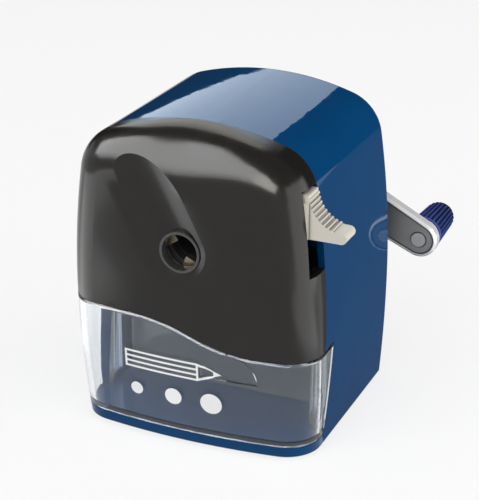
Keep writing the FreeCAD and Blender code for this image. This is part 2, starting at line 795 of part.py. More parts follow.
def make_jaw_pins():
    """Pivot pins set in the bearing plate, with heads ahead of the jaws."""
    pins = []
    for number, angle in enumerate(jaw_angles(), start=1):
        x, z = pivot_place(angle)
        shank = rod(f"jaw_pin_{number}", "jaw_pin_radius", x, f"{JAW_FRONT} - slide_gap - run_gap", z,
                    f"{PLATE_REAR} - {JAW_FRONT} + slide_gap + run_gap")
        head = rod(f"jaw_pin_head_{number}", "jaw_pin_head_radius", x,
                   f"{JAW_FRONT} - slide_gap - jaw_pin_radius", z, "jaw_pin_radius")
        pins.append(fuse(f"jaw_pin_whole_{number}", shank, head))
    return piece("jaw_pins", fuse("pins", *pins))


def cam_slots():
    """Three slots in the cam ring, from each stud's place when closed to its place when open."""
    swing = size("lever_swing")
    width = size("jaw_stud_radius + stud_slot_gap")
    start_y = size(RING_FRONT) - size("ring_thickness")
    depth = size("3 * ring_thickness")
    axis = Vector(0, start_y, size("axis_height"))
    slots = []
    for angle in jaw_angles():
        ends = []
        for share in (0.0, 1.0):
            radians = math.radians(angle)
            direction = radians + math.pi + math.radians(closed_angle() + share * jaw_opening())
            pivot = size("jaw_pivot_radius")
            along, aside = size("jaw_stud_along"), size("jaw_stud_aside")
            x = pivot * math.cos(radians) + along * math.cos(direction) - aside * math.sin(direction)
            z = pivot * math.sin(radians) + along * math.sin(direction) + aside * math.cos(direction)
            # Seen from the ring, which turns the other way, the stud also goes back by the swing
            back = math.radians(swing * share)
            ends.append(axis + Vector(x * math.cos(back) - z * math.sin(back), 0,
                                      x * math.sin(back) + z * math.cos(back)))
        run = ends[1] - ends[0]
        aside_vector = Vector(-run.z, 0, run.x) * (width / run.Length)
        beyond = run * (width / run.Length)
        edges = [
            Part.LineSegment(ends[0] + aside_vector, ends[1] + aside_vector).toShape(),
            Part.Arc(ends[1] + aside_vector, ends[1] + beyond, ends[1] - aside_vector).toShape(),
            Part.LineSegment(ends[1] - aside_vector, ends[0] - aside_vector).toShape(),
            Part.Arc(ends[0] - aside_vector, ends[0] - beyond, ends[0] + aside_vector).toShape(),
        ]
        slots.append(Part.Face(Part.Wire(edges)).extrude(Vector(0, depth, 0)))
    return fixed("cam_slots", Part.makeCompound(slots))


def lever_scoop():
    """The thumb piece's hollow: start, middle and end of its arc, as places in the sheet's names."""
    start = ("lever_crest_x", "lever_top")
    end = ("lever_tip_start", "lever_tip_height")
    run = "(lever_tip_start - lever_crest_x)"
    drop = "(lever_top - lever_tip_height)"
    chord = f"sqrt({run}^2 + {drop}^2)"
    middle = (
        f"(lever_crest_x + lever_tip_start) / 2 - lever_scoop_bulge * {drop} / {chord}",
        f"(lever_top + lever_tip_height) / 2 - lever_scoop_bulge * {run} / {chord}",
    )
    return start, middle, end


def make_lever():
    """Cam ring, radial arm and ribbed thumb piece in one moulding."""
    start, middle, end = lever_scoop()
    tip = "(lever_tip_height - lever_bottom) / 2"
    corners = [
        ("lever_root_x", "lever_bottom"),
        (f"lever_tip_x - {tip}", "lever_bottom", ("lever_tip_x", f"lever_bottom + {tip}")),
        (f"lever_tip_x - {tip}", "lever_tip_height"),
        (*end, middle),
        start,
        ("lever_root_x", "lever_top"),
    ]
    thumb_depth = "(notch_depth - 2 * lever_side_gap)"
    thumb = place(prism("thumb", corners, thumb_depth), y=f"{SEAM} - notch_depth + lever_side_gap")
    bore = "spigot_radius + run_gap"
    ring = turned("cam_ring", [
        (bore, "0"),
        ("cam_ring_radius", "0"),
        ("cam_ring_radius", "ring_thickness"),
        (bore, "ring_thickness"),
    ])
    place(ring, "0", RING_FRONT, "axis_height")
    reach = "sqrt(cam_ring_radius^2 - (arm_root_width / 2)^2)"
    low = "axis_height - arm_root_width / 4"
    arm = prism("lever_arm", [
        (f"{reach} - ring_thickness", low),
        ("lever_root_x + ring_thickness", "lever_bottom"),
        ("lever_root_x + ring_thickness", "lever_top - ring_thickness"),
        ("lever_root_x", "lever_top - ring_thickness"),
        (f"{reach} - ring_thickness", f"{low} + arm_root_width"),
    ], "ring_thickness")
    place(arm, y=RING_FRONT)
    lug = box("spring_lug", "-spring_x - 2 * post_radius", RING_FRONT, "axis_height - 2 * post_radius",
              "spring_x + 2 * post_radius - cam_ring_radius + ring_thickness", "ring_thickness",
              "4 * post_radius")
    solid = fuse("lever_solid", thumb, ring, arm, lug, *lever_ribs(start, middle, end))
    spring_eye = rod("lug_eye", "post_radius", "-spring_x", f"{RING_FRONT} - ring_thickness", "axis_height",
                     "3 * ring_thickness")
    return piece("jaw_lever", cut("lever_cut", solid, cam_slots(), spring_eye))


def lever_ribs(start, middle, end):
    """Round ribs across the hollow of the thumb piece, evenly spaced along its arc."""
    points = [Vector(size(x), 0, size(z)) for x, z in (start, middle, end)]
    arc = Part.Arc(*points)
    length = arc.length()
    count = round(size("rib_count"))
    depth = size("notch_depth - 2 * lever_side_gap")
    ribs = []
    for number in range(count):
        spot = arc.value(arc.parameterAtDistance(length * (number + 1) / (count + 1), arc.FirstParameter))
        shape = Part.makeCylinder(size("rib_radius"), depth, Vector(spot.x, 0, spot.z), Vector(0, 1, 0))
        rib = fixed(f"lever_rib_{number + 1}", shape)
        ribs.append(place(rib, y=f"{SEAM} - notch_depth + lever_side_gap"))
    return ribs


def make_bearing_plate():
    """The plate that carries the jaws' pins and the lever's ring in front and the cutter head behind."""
    half, tall, corner = "plate_half_width", "plate_half_height", "plate_corner_radius"
    diagonal = f"{corner} * (1 - sqrt(0.5))"
    corners = []
    for x_side, z_side in ((1, -1), (1, 1), (-1, 1), (-1, -1)):
        along = (f"{x_side} * ({half} - {corner})", f"{z_side} * {tall}")
        upright = (f"{x_side} * {half}", f"{z_side} * ({tall} - {corner})")
        bend = (f"{x_side} * ({half} - {diagonal})", f"{z_side} * ({tall} - {diagonal})")
        first, last = (along, upright) if x_side * z_side < 0 else (upright, along)
        corners += [(*first, bend), last]
    plate = place(prism("plate", corners, "plate_thickness"), "0", PLATE_FRONT, "axis_height")
    spigot = rod("spigot", "spigot_radius", "0", RING_FRONT, "axis_height",
                 f"{PLATE_FRONT} - {RING_FRONT} + plate_thickness / 2")
    seat = rod("journal_seat", "journal_radius + run_gap", "0", f"{PLATE_REAR} - journal_depth - slide_gap",
               "axis_height", "journal_depth + 2 * slide_gap")
    bore = rod("spigot_hole", "spigot_bore / 2", "0", f"{RING_FRONT} - ring_thickness", "axis_height",
               "4 * ring_thickness + plate_thickness")
    holes = []
    for number, (x, z) in enumerate(screw_places(), start=1):
        holes.append(rod(f"plate_hole_{number}", "screw_radius", x, f"{PLATE_FRONT} - plate_thickness", z,
                         "3 * plate_thickness"))
    for number, angle in enumerate(jaw_angles(), start=1):
        x, z = pivot_place(angle)
        holes.append(rod(f"pin_seat_{number}", "jaw_pin_radius", x, f"{PLATE_FRONT} - plate_thickness", z,
                         "3 * plate_thickness"))
    post_hole = rod("post_hole", "post_radius", "-spring_x", f"{PLATE_FRONT} - plate_thickness", POST_HEIGHT,
                    "3 * plate_thickness")
    return piece("bearing_plate", cut("plate_cut", fuse("plate_solid", plate, spigot), seat, bore,
                                      fuse("plate_holes", *holes, post_hole)))


# Gears


def pinion_cone():
    """Half angle of the pinion's pitch cone, in radians. Its apex lies on the pencil's axis."""
    tilt = math.radians(size("cone_angle"))
    ratio = size("ring_teeth / pinion_teeth")
    return math.atan(math.sin(tilt) / (ratio - math.cos(tilt)))


def toothed_wire(teeth, plane, inner, outer, inner_share, outer_share, first_angle):
    """A toothed outline in the plane at the given height: straight flanks between two radii."""
    points = []
    pitch = 2 * math.pi / teeth
    corners = ((inner, -inner_share), (outer, -outer_share), (outer, outer_share), (inner, inner_share))
    for number in range(teeth):
        middle = first_angle + number * pitch
        for radius, share in corners:
            angle = middle + share * pitch
            points.append(Vector(radius * math.cos(angle), radius * math.sin(angle), plane))
    return Part.makePolygon(points + points[:1])


def bevel(teeth, cone, near, far, inner_add, outer_add, inner_share, outer_share, first_angle):
    """A toothed cone about Z with its apex at the origin, from one distance to another along -Z."""
    wires = []
    for distance in (far, near):
        pitch_radius = distance * math.tan(cone)
        module = 2 * pitch_radius / teeth
        wires.append(toothed_wire(teeth, -distance, pitch_radius + inner_add * module,
                                  pitch_radius + outer_add * module, inner_share, outer_share, first_angle))
    return Part.makeLoft(wires, True, True)


def make_pinion():
    """The cutter's pinion, with one tooth pointing straight at the ring gear's nearest space."""
    far = size(PINION_REACH)
    near = far - size("gear_face")
    teeth = round(size("pinion_teeth"))
    shape = bevel(teeth, pinion_cone(), near, far, -PINION_ROOT, PINION_TIP,
                  TOOTH_FOOT_SHARE, PINION_TIP_SHARE, math.pi / 2)
    bore = Part.makeCylinder(size("axle_radius + run_gap"), 2 * far, Vector(0, 0, -2 * far))
    return piece("cutter_pinion", tilted(fixed("pinion", shape.cut(bore))))


def tilted(item):
    """Put an object that was made about its own Z axis on the cutter's axis, with its origin at the apex."""
    turn(item, Vector(-1, 0, 0), "90 - cone_angle")
    return place(item, "0", APEX, "axis_height")


def make_cutter():
    """A helical cutter: toothed outlines turned step by step along its axis."""
    far = size(CUTTER_REACH)
    length = size("cutter_length")
    teeth = round(size("cutter_teeth"))
    outer = size("cutter_radius")
    inner = outer - size("cutter_tooth_depth")
    wires = []
    for step in range(CUTTER_STEPS + 1):
        share = step / CUTTER_STEPS
        first_angle = math.radians(size("cutter_twist")) * share
        wires.append(toothed_wire(teeth, -far + length * share, inner, outer,
                                  CUTTER_FOOT_SHARE, CUTTER_TIP_SHARE, first_angle))
    shape = Part.makeLoft(wires, True, True)
    bore = Part.makeCylinder(size("axle_radius + run_gap"), 2 * far, Vector(0, 0, -2 * far))
    return piece("cutter", tilted(fixed("helical_cutter", shape.cut(bore))))


def axle_rod(name, extra):
    """A rod on the cutter's axis, from the carrier's disc to its hub."""
    front = f"(({APEX} - {DISC_FRONT} - carrier_disc / 3) / cos(cone_angle))"
    rear = f"(({APEX} - {TAIL_FRONT} + axle_radius) / cos(cone_angle))"
    item = doc.addObject("Part::Cylinder", name)
    bind(item, "Radius", f"axle_radius + {extra}")
    bind(item, "Height", f"{front} - {rear}")
    turn(item, Vector(-1, 0, 0), "90 - cone_angle")
    return place(item, "0", f"{APEX} - {front} * cos(cone_angle)", f"axis_height - {front} * sin(cone_angle)")


def make_carrier():
    """The turning head: front journal and disc with the pencil guide, a half tube, and the rear hub."""
    journal = rod("journal", "journal_radius", "0", f"{PLATE_REAR} - journal_depth", "axis_height",
                  f"{DISC_FRONT} - {PLATE_REAR} + journal_depth + carrier_disc / 2")
    disc = rod("carrier_plate", "carrier_disc_radius", "0", DISC_FRONT, "axis_height", "carrier_disc")
    tube = rod("web_tube", "web_outer_radius", "0", DISC_FRONT, "axis_height", f"{TAIL_FRONT} - {DISC_FRONT}")
    hollow = rod("web_hollow", "web_inner_radius", "0", f"{DISC_FRONT} - carrier_disc", "axis_height",
                 f"{HUB_FRONT} - {DISC_FRONT} + carrier_disc")
    window = box("web_window", "-web_outer_radius", DISC_REAR, "axis_height - web_outer_radius",
                 "2 * web_outer_radius", f"{HUB_FRONT} - {DISC_REAR}", "web_outer_radius + axle_radius")
    tail = rod("hub_tail", "hub_tail_radius", "0", f"{TAIL_FRONT} - hub_length / 2", "axis_height",
               "hub_tail_length + hub_length / 2")
    guide = rod("guide", "guide_bore / 2", "0", f"{PLATE_FRONT} - plate_thickness", "axis_height",
                f"{DISC_REAR} - {PLATE_FRONT} + plate_thickness")
    socket = rod("shaft_socket", "shaft_radius", "0", TAIL_FRONT, "axis_height", "2 * hub_tail_length")
    web = cut("carrier_web", tube, hollow, window)
    solid = fuse("carrier_solid", journal, disc, web, tail)
    return piece("cutter_carrier", cut("carrier_cut", solid, guide, socket, axle_rod("axle_hole", "0")))


def make_axle():
    return piece("cutter_axle", axle_rod("axle", "0"))


def make_ring_gear():
    """The fixed ring gear: a flanged ring with inner teeth on a cone, and a space at its lowest point."""
    cone = pinion_cone() + math.radians(size("cone_angle"))
    far = size(PINION_REACH) * math.cos(cone) / math.cos(pinion_cone())
    gear_face = size("gear_face")
    near = far - gear_face
    teeth = round(size("ring_teeth"))
    shape = bevel(teeth, cone, near - gear_face, far + gear_face, -RING_TIP, RING_ROOT,
                  TOOTH_FOOT_SHARE, RING_SPACE_SHARE, math.pi / 2)
    root = far * math.tan(cone) * (1 + 2 * RING_ROOT / teeth)
    apex = size(APEX)
    space = fixed("ring_space", shape)
    face_rear(space)
    place(space, "0", APEX, "axis_height")
    front = size(PLATE_REAR)
    wide = rod("ring_body", f"{root} + gear_rim", "0", PLATE_REAR, "axis_height", f"{apex - near - front}")
    flange = box("ring_flange", "-plate_half_width", PLATE_REAR, "axis_height - plate_half_height",
                 "2 * plate_half_width", "gear_flange", "2 * plate_half_height")
    pocket = rod("ring_pocket", f"{root} + slide_gap", "0", f"{PLATE_REAR} - plate_thickness", "axis_height",
                 f"{apex - far - front} + plate_thickness")
    holes = []
    for number, (x, z) in enumerate(screw_places(), start=1):
        holes.append(rod(f"flange_hole_{number}", "screw_radius", x, PLATE_REAR, z, "2 * gear_flange"))
    solid = fuse("ring_solid", wide, flange)
    return piece("ring_gear", cut("ring_cut", solid, space, pocket, fuse("flange_holes", *holes)))


def make_frame_screws():
    """Four slotted screws through the ring gear's flange and the plate into the cover's bosses."""
    screws = []
    for number, (x, z) in enumerate(screw_places(), start=1):
        seat = f"{PLATE_REAR} + gear_flange"
        shank = rod(f"screw_shank_{number}", "screw_radius", x, f"{seat} - screw_length", z, "screw_length")
        head = rod(f"screw_head_{number}", "screw_head_radius", x, seat, z, "screw_head_height")
        slot = box(f"screw_slot_{number}", f"{x} - screw_head_radius", f"{seat} + screw_head_height / 2",
                   f"{z} - screw_slot_width / 2", "2 * screw_head_radius", "screw_head_height",
                   "screw_slot_width")
        screws.append(cut(f"screw_{number}", fuse(f"screw_solid_{number}", shank, head), slot))
    return piece("frame_screws", fuse("screws", *screws))


# Crank


def make_shaft():
    """The crank shaft, with a groove for its clip."""
    clip = f"({WALL_INSIDE} - bush_flange_thickness - slide_gap - clip_width - {TAIL_FRONT})"
    end = f"({ARM_REAR} - {TAIL_FRONT})"
    corners = [
        ("0", "0"),
        ("shaft_radius", "0"),
        ("shaft_radius", clip),
        ("clip_groove_radius", clip),
        ("clip_groove_radius", f"{clip} + clip_width"),
        ("shaft_radius", f"{clip} + clip_width"),
        ("shaft_radius", end),
        ("crank_screw_radius", end),
        ("crank_screw_radius", f"{end} - crank_screw_length"),
        ("0", f"{end} - crank_screw_length"),
    ]
    return piece("crank_shaft", place(turned("shaft", corners), "0", TAIL_FRONT, "axis_height"))


def make_clip():
    start = f"{WALL_INSIDE} - bush_flange_thickness - slide_gap - clip_width"
    disc = rod("clip_disc", "clip_radius", "0", start, "axis_height", "clip_width")
    hole = rod("clip_hole", "clip_groove_radius", "0", f"{start} - clip_width", "axis_height",
               "3 * clip_width")
    mouth = box("clip_mouth_box", "-clip_mouth / 2", f"{start} - clip_width", "axis_height",
                "clip_mouth", "3 * clip_width", "2 * clip_radius")
    return piece("shaft_clip", cut("clip", disc, hole, mouth))


def make_bush():
    bore = "shaft_radius + run_gap"
    corners = [
        (bore, "-bush_flange_thickness"),
        (f"{BUSH_RADIUS} + bush_flange", "-bush_flange_thickness"),
        (f"{BUSH_RADIUS} + bush_flange", "0"),
        (BUSH_RADIUS, "0"),
        (BUSH_RADIUS, "wall + rear_boss_length + slide_gap"),
        (bore, "wall + rear_boss_length + slide_gap"),
    ]
    return piece("rear_bush", place(turned("bush", corners), "0", WALL_INSIDE, "axis_height"))


def arm_outline(margin):
    """The arm's outline along its own X axis: two round ends and the straight lines tangent to both."""
    hub, end = f"(arm_hub_radius - {margin})", f"(arm_end_radius - {margin})"
    lean = "((arm_hub_radius - arm_end_radius) / crank_radius)"
    level = f"sqrt(1 - {lean}^2)"
    return [
        (f"{hub} * {lean}", f"-{hub} * {level}"),
        (f"crank_radius + {end} * {lean}", f"-{end} * {level}", (f"crank_radius + {end}", "0")),
        (f"crank_radius + {end} * {lean}", f"{end} * {level}"),
        (f"{hub} * {lean}", f"{hub} * {level}", (f"-{hub}", "0")),
    ]


def make_arm():
    """A flat arm with chamfered edges and a shallow panel on its front face, and a collar for the shaft."""
    body = prism("arm", arm_outline("0"), "arm_thickness")
    doc.recompute()
    pad = body.Tip
    edges = []
    for number, face in enumerate(pad.Shape.Faces, start=1):
        if abs(face.normalAt(0, 0).y) > SQUARE_ON:
            edges.append(f"Face{number}")
    chamfer = body.newObject("PartDesign::Chamfer", "arm_edges")
    chamfer.Base = (pad, edges)
    bind(chamfer, "Size", "arm_chamfer")
    panel = new_sketch(body, "XZ_Plane", "arm_panel_outline")
    outline(panel, arm_outline("arm_panel_margin"))
    recess = body.newObject("PartDesign::Pocket", "arm_panel")
    recess.Profile = panel
    bind(recess, "Length", "arm_panel_depth")
    turn(body, Vector(0, 1, 0), "crank_angle")
    place(body, "0", ARM_FRONT, "axis_height")
    collar_start = f"({BOSS_END} + slide_gap + collar_gap)"
    collar = rod("collar", "collar_radius", "0", collar_start, "axis_height",
                 f"{ARM_FRONT} - {collar_start} + arm_thickness / 2")
    bore = rod("arm_bore", "shaft_radius", "0", BOSS_END, "axis_height", f"{ARM_REAR} - {BOSS_END} + wall")
    knob_x, knob_z = knob_place()
    rivet_hole = rod("rivet_hole", "rivet_radius", knob_x, f"{ARM_FRONT} - wall", knob_z,
                     "arm_thickness + 2 * wall")
    return piece("crank_arm", cut("arm_cut", fuse("arm_solid", body, collar), bore, rivet_hole))


def knob_place():
    return "crank_radius * cos(crank_angle)", "axis_height - crank_radius * sin(crank_angle)"


def make_crank_screw():
    """The screw that holds the arm on the shaft, with a hexagon recess."""
    corners = [
        ("0", "-crank_screw_length"),
        ("crank_screw_radius", "-crank_screw_length"),
        ("crank_screw_radius", "0"),
        ("crank_screw_head_radius", "0"),
        ("crank_screw_head_radius", "crank_screw_head_height - crank_screw_chamfer"),
        ("crank_screw_head_radius - crank_screw_chamfer", "crank_screw_head_height"),
        ("0", "crank_screw_head_height"),
    ]
    screw = place(turned("crank_bolt", corners), "0", ARM_REAR, "axis_height")
    recess = face_rear(doc.addObject("Part::Prism", "hex_socket"))
    recess.Polygon = 6
    bind(recess, "Circumradius", "hex_recess")
    bind(recess, "Height", "crank_screw_head_height")
    place(recess, "0", f"{ARM_REAR} + crank_screw_head_height / 2", "axis_height")
    return piece("crank_screw", cut("crank_bolt_cut", screw, recess))


def make_rivet():
    """The knob's axle, riveted through the arm, with a collar at its end that holds the knob."""
    head = "(arm_panel_depth - rivet_head_height)"
    bore_end = "(arm_thickness + washer_thickness + knob_gap + knob_length - knob_cap)"
    tip = f"({bore_end} - slide_gap)"
    corners = [
        ("0", head),
        ("rivet_head_radius", head),
        ("rivet_head_radius", "arm_panel_depth"),
        ("rivet_radius", "arm_panel_depth"),
        ("rivet_radius", f"{tip} - rivet_collar_length"),
        ("rivet_collar_radius", f"{tip} - rivet_collar_length"),
        ("rivet_collar_radius", tip),
        ("0", tip),
    ]
    x, z = knob_place()
    return piece("knob_rivet", place(turned("rivet", corners), x, ARM_FRONT, z))


def make_washer():
    corners = [
        ("rivet_radius", "0"),
        ("washer_radius", "0"),
        ("washer_radius", "washer_thickness"),
        ("rivet_radius", "washer_thickness"),
    ]
    x, z = knob_place()
    return piece("knob_washer", place(turned("washer", corners), x, ARM_REAR, z))


def fluted_wire(plane, radius):
    """A fluted outline: hollow arcs that meet at the radius."""
    flutes = round(size("knob_flutes"))
    floor = radius - size("knob_flute_depth")
    step = 2 * math.pi / flutes

    def spot(distance, share):
        return Vector(distance * math.cos(share * step), distance * math.sin(share * step), plane)

    arcs = []
    for number in range(flutes):
        hollow = Part.Arc(spot(radius, number), spot(floor, number + 0.5), spot(radius, number + 1))
        arcs.append(hollow.toShape())
    return Part.Wire(arcs)


def make_knob():
    """A tapering fluted knob with a plain band at its base, a rounded end and a blind bore for its axle."""
    length, base, end = size("knob_length"), size("knob_base_radius"), size("knob_end_radius")
    band = size("knob_band")
    fluting = Part.makeLoft([fluted_wire(band, base), fluted_wire(length, end)], True, True)
    flutes = face_rear(fixed("knob_fluting", fluting))
    x, z = knob_place()
    place(flutes, x, KNOB_FRONT, z)
    taper = "(knob_base_radius - knob_end_radius) / knob_length"
    shoulder = f"knob_end_radius + knob_end_rounding * {taper}"
    bend = "knob_end_rounding * (1 - sqrt(0.5))"
    envelope = turned("knob_envelope", [
        ("0", "knob_band"),
        ("knob_base_radius", "knob_band"),
        (shoulder, "knob_length - knob_end_rounding",
         (f"knob_end_radius - {bend}", f"knob_length - {bend}")),
        ("knob_end_radius - knob_end_rounding", "knob_length"),
        ("0", "knob_length"),
    ])
    place(envelope, x, KNOB_FRONT, z)
    band_ring = rod("knob_band_ring", "knob_base_radius", x, KNOB_FRONT, z, "knob_band")
    bore = rod("knob_bore", "rivet_radius + run_gap", x, f"{KNOB_FRONT} - knob_gap", z,
               "knob_gap + knob_length - knob_cap")
    collar_room = rod("knob_collar_room", "rivet_collar_radius + slide_gap", x,
                      f"{KNOB_FRONT} + knob_length - knob_cap - rivet_collar_length - 2 * slide_gap", z,
                      "rivet_collar_length + 2 * slide_gap")
    solid = fuse("knob_solid", common("knob_grip", flutes, envelope), band_ring)
    return piece("knob", cut("knob_cut", solid, bore, collar_room))


# Lever return spring


def coil_wire(radius, pitch, turns):
    """A coil about Z as half-turn arcs, each pair standing in for one turn of a helix."""
    halves = round(2 * turns)
    arcs = []
    for half in range(halves):
        heights = [pitch / 2 * (half + share) for share in (0.0, 0.5, 1.0)]
        angles = [math.pi * (half + share) for share in (0.0, 0.5, 1.0)]
        points = [Vector(radius * math.cos(a), radius * math.sin(a), z) for a, z in zip(angles, heights)]
        arcs.append(Part.Arc(*points).toShape())
    return Part.Wire(arcs)


def least_gap(spine, turns):
    """The least distance between the middle lines of neighbouring turns, measured on points."""
    points = spine.discretize(Number=round(COIL_POINTS * turns) + 1)
    pairs = []
    for number, point in enumerate(points):
        for other in points[number + COIL_POINTS // 2:]:
            pairs.append(point.distanceToPoint(other))
    return min(pairs)


def make_spring():
    """A closed coil between the lever's lug and the post on the bearing plate."""
    wire, radius = size("spring_wire_radius"), size("spring_coil_radius")
    turns = size("spring_turns")
    pitch = size("spring_length") / turns
    spine = coil_wire(radius, pitch, turns)
    start = spine.Edges[0]
    tangent = start.tangentAt(start.FirstParameter)
    profile = Part.Wire(Part.makeCircle(wire, Vector(radius, 0, 0), tangent))
    shape = spine.makePipeShell([profile], True, False)
    print(f"lever spring: least gap to itself {least_gap(spine, turns) - 2 * wire:.2f} mm")
    spring = fixed("spring_coil", shape)
    middle = f"{PLATE_FRONT} - slide_gap - spring_coil_radius - spring_wire_radius"
    place(spring, "-spring_x", middle, SPRING_FOOT)
    return piece("lever_spring", spring)


def make_post():
    """The fixed pin below the spring, set in the bearing plate."""
    return piece("spring_post", rod("fixed_post", "post_radius", "-spring_x", JAW_FRONT, POST_HEIGHT,
                                    f"{PLATE_REAR} - {JAW_FRONT}"))


def make_lug_pin():
    """The moving pin above the spring, set in the lever's lug."""
    return piece("spring_lug_pin", rod("lug_pin", "post_radius", "-spring_x", JAW_FRONT, "axis_height",
                                       f"{RING_FRONT} + ring_thickness - {JAW_FRONT}"))


def build():
    fill_sheet()
    casing = casing_form("casing", "0", "foot_height")
    cavity = casing_form("cavity", "wall", "band_height")
    make_housing(casing, cavity)
    make_feet()
    make_cover(casing, cavity)
    make_drawer(casing)
    make_chute()
    make_inlet_ring()
    for number, angle in enumerate(jaw_angles(), start=1):
        make_jaw(number, angle)
    make_jaw_pins()
    make_lever()
    make_bearing_plate()
    make_ring_gear()
    make_frame_screws()
    make_carrier()
    make_cutter()
    make_pinion()
    make_axle()
    make_shaft()
    make_clip()
    make_bush()
    make_arm()
    make_crank_screw()
    make_rivet()
    make_washer()
    make_knob()
    make_spring()
    make_post()
    make_lug_pin()
    doc.recompute()


def check_and_write():
    """Stop on any failed object, then write one file for each sub-part."""
    for item in doc.Objects:
        if "Invalid" in item.State or "Error" in item.State:
            raise RuntimeError(f"{item.Label} failed: {item.State}")
    for item in PIECES:
        if item.Shape.isNull() or not item.Shape.isValid():
            raise RuntimeError(f"{item.Label} has no valid shape")
    os.makedirs("parts", exist_ok=True)
    for item in PIECES:
        item.Shape.exportStep(os.path.join("parts", f"{item.Label}.step"))
        print(f"{item.Label}: {len(item.Shape.Solids)} solids, {item.Shape.Volume:.1f} mm3")


build()
check_and_write()
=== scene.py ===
"""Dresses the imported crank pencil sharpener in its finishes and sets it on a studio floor."""

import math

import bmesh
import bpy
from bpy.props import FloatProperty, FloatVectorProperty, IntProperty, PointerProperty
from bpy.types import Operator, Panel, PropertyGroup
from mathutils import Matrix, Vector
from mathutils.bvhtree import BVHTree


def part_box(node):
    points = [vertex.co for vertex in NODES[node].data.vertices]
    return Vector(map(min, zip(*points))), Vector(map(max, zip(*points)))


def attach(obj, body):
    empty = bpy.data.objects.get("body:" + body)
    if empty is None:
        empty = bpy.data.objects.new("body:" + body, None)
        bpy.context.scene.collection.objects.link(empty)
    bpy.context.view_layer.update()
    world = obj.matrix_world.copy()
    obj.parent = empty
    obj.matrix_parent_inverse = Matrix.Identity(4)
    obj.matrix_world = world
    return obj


bl_info = {
    "name": "Crank pencil sharpener",
    "version": (1, 0, 0),
    "blender": (4, 5, 0),
    "location": "View3D > Sidebar > Sharpener",
    "description": "Finishes for a crank pencil sharpener's pieces, and a studio to see them in",
    "category": "Object",
}

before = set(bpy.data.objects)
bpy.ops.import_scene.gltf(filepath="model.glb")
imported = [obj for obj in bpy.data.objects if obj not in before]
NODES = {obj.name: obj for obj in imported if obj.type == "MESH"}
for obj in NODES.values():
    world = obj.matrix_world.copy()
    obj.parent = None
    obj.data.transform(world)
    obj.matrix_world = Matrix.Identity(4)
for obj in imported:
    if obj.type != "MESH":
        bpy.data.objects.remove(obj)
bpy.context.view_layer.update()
MM = 0.001


def colour_property(label, about, default):
    return FloatVectorProperty(name=label, description=about, subtype="COLOR", size=3, min=0, max=1,
                               default=default)


def share_property(label, about, default):
    return FloatProperty(name=label, description=about, subtype="FACTOR", min=0, max=1, default=default)


def length_property(label, about, default):
    return FloatProperty(name=label, description=about, subtype="DISTANCE", unit="LENGTH", default=default)


def angle_property(label, about, default):
    return FloatProperty(name=label, description=about, subtype="ANGLE", default=math.radians(default))


def number_property(label, about, default):
    return FloatProperty(name=label, description=about, default=default)


class SharpenerFinishes(PropertyGroup):
    """Colours and gloss of the sharpener's pieces."""

    casing_blue: colour_property("Casing blue", "Glossy moulded housing", (0.0016, 0.046, 0.142))
    casing_roughness: share_property("Casing roughness", "How dull the housing's gloss is", 0.02)
    casing_gloss: share_property("Casing gloss", "Strength of the housing's reflections", 0.12)
    cover_charcoal: colour_property("Cover charcoal", "Satin moulded front cover", (0.0118, 0.0106, 0.0096))
    cover_roughness: share_property("Cover roughness", "How dull the cover's satin is", 0.17)
    cover_gloss: share_property("Cover gloss", "Strength of the cover's reflections", 0.27)
    drawer_tint: colour_property("Drawer tint", "What the clear drawer does to light", (0.93, 0.95, 0.97))
    drawer_shade: colour_property("Drawer shade", "Light that it passes in shadows", (0.86, 0.87, 0.88))
    lever_cream: colour_property("Lever cream", "Warm light grey of the lever", (0.58, 0.548, 0.48))
    ring_grey: colour_property("Ring grey", "Rim of the pencil inlet", (0.05, 0.049, 0.048))
    washer_white: colour_property("Washer white", "Thin disc under the knob", (0.72, 0.72, 0.71))
    knob_navy: colour_property("Knob navy", "Fluted crank knob", (0.025, 0.043, 0.165))
    inner_black: colour_property("Inner black", "Matt mouldings inside the casing", (0.036, 0.033, 0.034))
    chute_slate: colour_property("Chute slate", "Wall and slope behind the drawer", (0.054, 0.068, 0.082))
    steel: colour_property("Steel", "Pins, screws, shafts and the spring", (0.56, 0.565, 0.57))
    rivet_steel: colour_property("Rivet steel", "Plated rivet in the crank arm", (0.45, 0.45, 0.455))
    jaw_steel: colour_property("Jaw steel", "Plated jaws, slightly warm", (0.24, 0.2, 0.15))
    cutter_steel: colour_property("Cutter steel", "Ground cutter and its pinion", (0.36, 0.365, 0.37))
    bush_brass: colour_property("Bush brass", "Turned bush in the rear wall", (0.62, 0.46, 0.2))
    arm_alloy: colour_property("Arm alloy", "Bright edges of the crank arm", (0.8, 0.8, 0.8))
    arm_panel: colour_property("Arm panel", "Dull sunk face of the crank arm", (0.2, 0.2, 0.2))
    foot_rubber: colour_property("Foot rubber", "Feet under the base", (0.02, 0.02, 0.02))
    print_white: colour_property("Print white", "Ink of the plain sign on the drawer", (0.86, 0.87, 0.88))


class SharpenerSign(PropertyGroup):
    """A plain sign on the drawer's front: a pencil lying level, above a row of growing dots."""

    left: length_property("Left end", "Where the pencil's flat end stands along X", -21.0 * MM)
    height: length_property("Height", "Height of the pencil's middle line", 28.0 * MM)
    length: length_property("Length", "From the flat end to the point", 34.0 * MM)
    thickness: length_property("Thickness", "Across the pencil", 6.4 * MM)
    line: length_property("Line", "Width of the drawn lines", 0.7 * MM)
    ink: length_property("Ink", "How far the ink stands out of the drawer", 0.04 * MM)
    dots: IntProperty(name="Dots", description="How many dots stand below the pencil", default=3, min=1)
    dots_below: length_property("Dots below", "From the pencil's middle to the dots' middles", 11.0 * MM)
    smallest_dot: length_property("Smallest dot", "Diameter of the first dot", 4.4 * MM)
    largest_dot: length_property("Largest dot", "Diameter of the last dot", 7.4 * MM)


